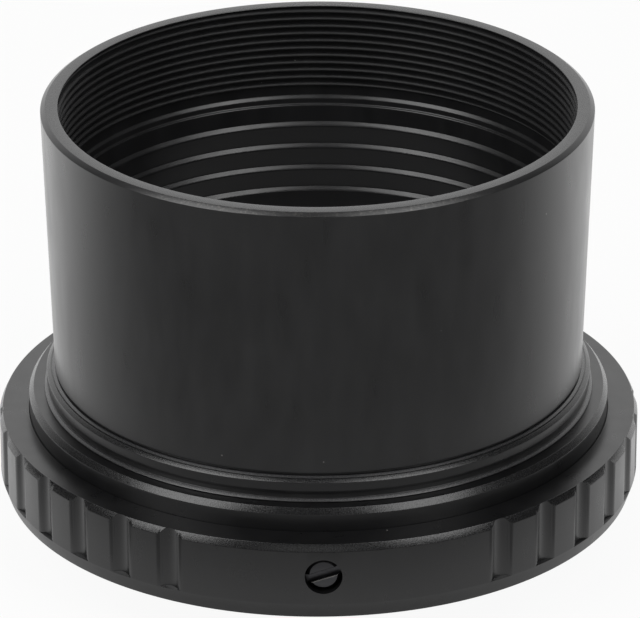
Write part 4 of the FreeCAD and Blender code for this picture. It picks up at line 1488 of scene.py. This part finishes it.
@dataclass
class Studio:
    """A pale table and a white surround, darker towards the camera, under soft lamps.

    The lengths here are metres. The camera sees the table and the surround white, as the picture's cut-out
    background is. What the object mirrors is a table that brightens away from the camera, with a pale ring of
    light near the object's foot and a painted shadow, a darker patch, under it.
    """

    table_colour: str = "e6e6e4"
    table_width: float = 6.0
    table_gap: float = 0.00002
    whiteness: float = 0.93
    dark_end: float = -0.05
    bright_end: float = 0.06
    mirror_dark: float = 0.3
    mirror_bright: float = 1.25
    near_glow: float = 0.35
    near: tuple[float, float, float, float] = (0.0296, 0.0350, 0.041, 0.053)
    painted_shadow: tuple[float, float] = (0.020, 0.026)
    painted_shadow_share: float = 0.28
    room_from: float = 0.35
    room_to: float = 0.85
    room_dark: float = 0.06
    room_bright: float = 1.12
    aim: float = 0.02
    lamps: tuple[Softbox, ...] = (
        Softbox("left_softbox", -62.0, 46.0, 0.8, 0.44, 0.86, 3.3, 18.0),
        Softbox("right_softbox", 50.0, 50.0, 0.8, 0.38, 0.86, 3.0, -18.0),
        Softbox("top_softbox", 180.0, 74.0, 0.8, 0.36, 0.28, 1.0),
        Softbox("front_card", -3.0, 25.0, 0.8, 0.42, 0.12, 0.7),
    )

    def build(self) -> None:
        """Make the table, the surround and the lamps."""
        self.build_table()
        self.build_surround()
        for lamp in self.lamps:
            lamp.build(Vector((0, 0, self.aim)))

    def mirrored_table(self, tree: bpy.types.NodeTree) -> bpy.types.NodeSocket:
        """Work out how bright each place of the table is where the object mirrors it.

        Args:
            tree: The table's material tree.

        Returns:
            The strength of its light.
        """
        place = add_node(tree, "ShaderNodeTexCoord").outputs["Object"]
        parts = add_node(tree, "ShaderNodeSeparateXYZ", {0: place})
        glow = add_node(tree, "ShaderNodeMapRange", {
            "Value": parts.outputs[1], "From Min": self.dark_end, "From Max": self.bright_end,
            "To Min": self.mirror_dark, "To Max": self.mirror_bright}, interpolation_type="SMOOTHSTEP")
        flat = add_node(tree, "ShaderNodeVectorMath", {0: place}, operation="LENGTH").outputs["Value"]
        start, full, fading, gone = self.near
        rising = add_node(tree, "ShaderNodeMapRange", {
            "Value": flat, "From Min": start, "From Max": full, "To Min": 0.0, "To Max": self.near_glow},
            interpolation_type="SMOOTHSTEP")
        falling = add_node(tree, "ShaderNodeMapRange", {
            "Value": flat, "From Min": fading, "From Max": gone, "To Min": 1.0, "To Max": 0.0},
            interpolation_type="SMOOTHSTEP")
        glows = (rising.outputs["Result"], falling.outputs["Result"], glow.outputs["Result"])
        lit = add_node(tree, MATH, glows, operation="MULTIPLY_ADD")
        # A painted shadow: the mirrored table darkens under the object, down to a share of its light.
        inner, outer = self.painted_shadow
        painted_shadow_factor = add_node(tree, "ShaderNodeMapRange", {
            "Value": flat, "From Min": inner, "From Max": outer, "To Min": self.painted_shadow_share, "To Max": 1.0})
        shown = add_node(tree, MATH, (lit.outputs[0], painted_shadow_factor.outputs["Result"]), operation="MULTIPLY")
        return shown.outputs[0]

    def build_table(self) -> None:
        """Make the table, white to the camera with a trace of the object's shadow."""
        half, low = self.table_width / 2, -self.table_gap
        corners = [(-half, -half, low), (half, -half, low), (half, half, low), (-half, half, low)]
        data = bpy.data.meshes.new("table")
        data.from_pydata(corners, [], [(0, 1, 2, 3)])
        table = bpy.data.objects.new("table", data)
        bpy.context.scene.collection.objects.link(table)
        material = bpy.data.materials.new("pale_table")
        material.use_nodes = True
        tree = material.node_tree
        tree.nodes.clear()
        ray = add_node(tree, "ShaderNodeLightPath")
        surface = add_node(tree, "ShaderNodeBsdfDiffuse", {"Color": linear(self.table_colour)})
        white = add_node(tree, "ShaderNodeEmission", {"Color": linear(WHITE), "Strength": 1.0})
        seen = add_node(tree, "ShaderNodeMixShader", {
            0: self.whiteness, 1: surface.outputs[0], 2: white.outputs[0]})
        mirrored = add_node(tree, "ShaderNodeEmission", {
            "Color": linear(WHITE), "Strength": self.mirrored_table(tree)})
        told = add_node(tree, "ShaderNodeMixShader", {
            0: ray.outputs["Is Camera Ray"], 1: surface.outputs[0], 2: seen.outputs[0]})
        rays = (ray.outputs["Is Glossy Ray"], ray.outputs["Is Transmission Ray"])
        reflective = add_node(tree, MATH, rays, operation="MAXIMUM")
        result = add_node(tree, "ShaderNodeMixShader", {
            0: reflective.outputs[0], 1: told.outputs[0], 2: mirrored.outputs[0]})
        add_node(tree, "ShaderNodeOutputMaterial", {"Surface": result.outputs[0]})
        data.materials.append(material)

    def build_surround(self) -> None:
        """Make the world: white to the camera, and to the rest a room that is lit from behind the object."""
        world = bpy.data.worlds.new("surround")
        bpy.context.scene.world = world
        world.use_nodes = True
        tree = world.node_tree
        tree.nodes.clear()
        ray = add_node(tree, "ShaderNodeLightPath")
        direction = add_node(tree, "ShaderNodeTexCoord").outputs["Generated"]
        parts = add_node(tree, "ShaderNodeSeparateXYZ", {0: direction})
        room = add_node(tree, "ShaderNodeMapRange", {
            "Value": parts.outputs[1], "From Min": self.room_from, "From Max": self.room_to,
            "To Min": self.room_dark, "To Max": self.room_bright}, interpolation_type="SMOOTHSTEP")
        strength = add_node(tree, "ShaderNodeMix", {
            0: ray.outputs["Is Camera Ray"], 2: room.outputs["Result"], 3: 1.0}, data_type="FLOAT")
        light = add_node(tree, "ShaderNodeBackground", {
            "Color": linear(WHITE), "Strength": strength.outputs[0]})
        add_node(tree, "ShaderNodeOutputWorld", {"Surface": light.outputs[0]})


@dataclass
class PictureCamera:
    """The picture's camera, as its ellipses give it: the focal length in pixels, the rest in millimetres.

    The target's height is above the camera flange.
    """

    flange: float
    focal: float = 5403.4
    picture_width: float = 640.0
    elevation: float = 24.877
    distance: float = 503.46
    target: tuple[float, float, float] = (0.17, 0.02, 16.739)
    roll: float = -0.17
    sensor: float = 36.0
    nearest: float = 10.0
    furthest: float = 20000.0

    def build(self) -> None:
        """Place the camera and make it the scene's own."""
        data = bpy.data.cameras.new("picture_camera")
        data.sensor_width = self.sensor
        data.lens = self.focal * self.sensor / self.picture_width
        data.clip_start = self.nearest * MM
        data.clip_end = self.furthest * MM
        camera = bpy.data.objects.new("picture_camera", data)
        rise, roll = math.radians(self.elevation), math.radians(self.roll)
        forward = Vector((0, math.cos(rise), -math.sin(rise)))
        right = Vector((1, 0, 0))
        up = Vector((0, math.sin(rise), math.cos(rise)))
        across = right * math.cos(roll) + up * math.sin(roll)
        upward = up * math.cos(roll) - right * math.sin(roll)
        place = (Vector(self.target) + Vector((0, 0, self.flange)) - forward * self.distance) * MM
        turn = Matrix((across, upward, -forward)).transposed().to_4x4()
        camera.matrix_world = Matrix.Translation(place) @ turn
        bpy.context.scene.collection.objects.link(camera)
        bpy.context.scene.camera = camera


def build_adapter() -> None:
    """Build the adapter's visible pieces, from the mouth down to the camera side."""
    thread = thread_tree()
    grip, plate, tee_ring = Extent.of("grip_ring"), Extent.of("bayonet_plate"), Extent.of("t_ring")
    screw_low, screw_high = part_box("set_screw_1")
    screw_height = (screw_low.z + screw_high.z) / 2 / MM
    nosepiece = Nosepiece(Extent.of("nosepiece_barrel"), Extent.of("thread_collar"))
    nosepiece.build_barrel(thread)
    nosepiece.build_collar(thread)
    TeeRing(tee_ring, screw_height).build(thread)
    GripRing(grip, plate, tee_ring, screw_height).build()
    SetScrews(grip, screw_height).build()
    bayonet = Bayonet(plate, grip.foot)
    bayonet.build_plate()
    bayonet.build_screws()


def main() -> None:
    """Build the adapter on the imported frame, then the studio and the camera."""
    logging.basicConfig(level=logging.INFO, format="%(name)s: %(message)s")
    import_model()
    build_adapter()
    Studio().build()
    PictureCamera(Extent.of("grip_ring").foot).build()
    bpy.context.scene.view_settings.view_transform = "Standard"


if __name__ == "__main__":
    main()
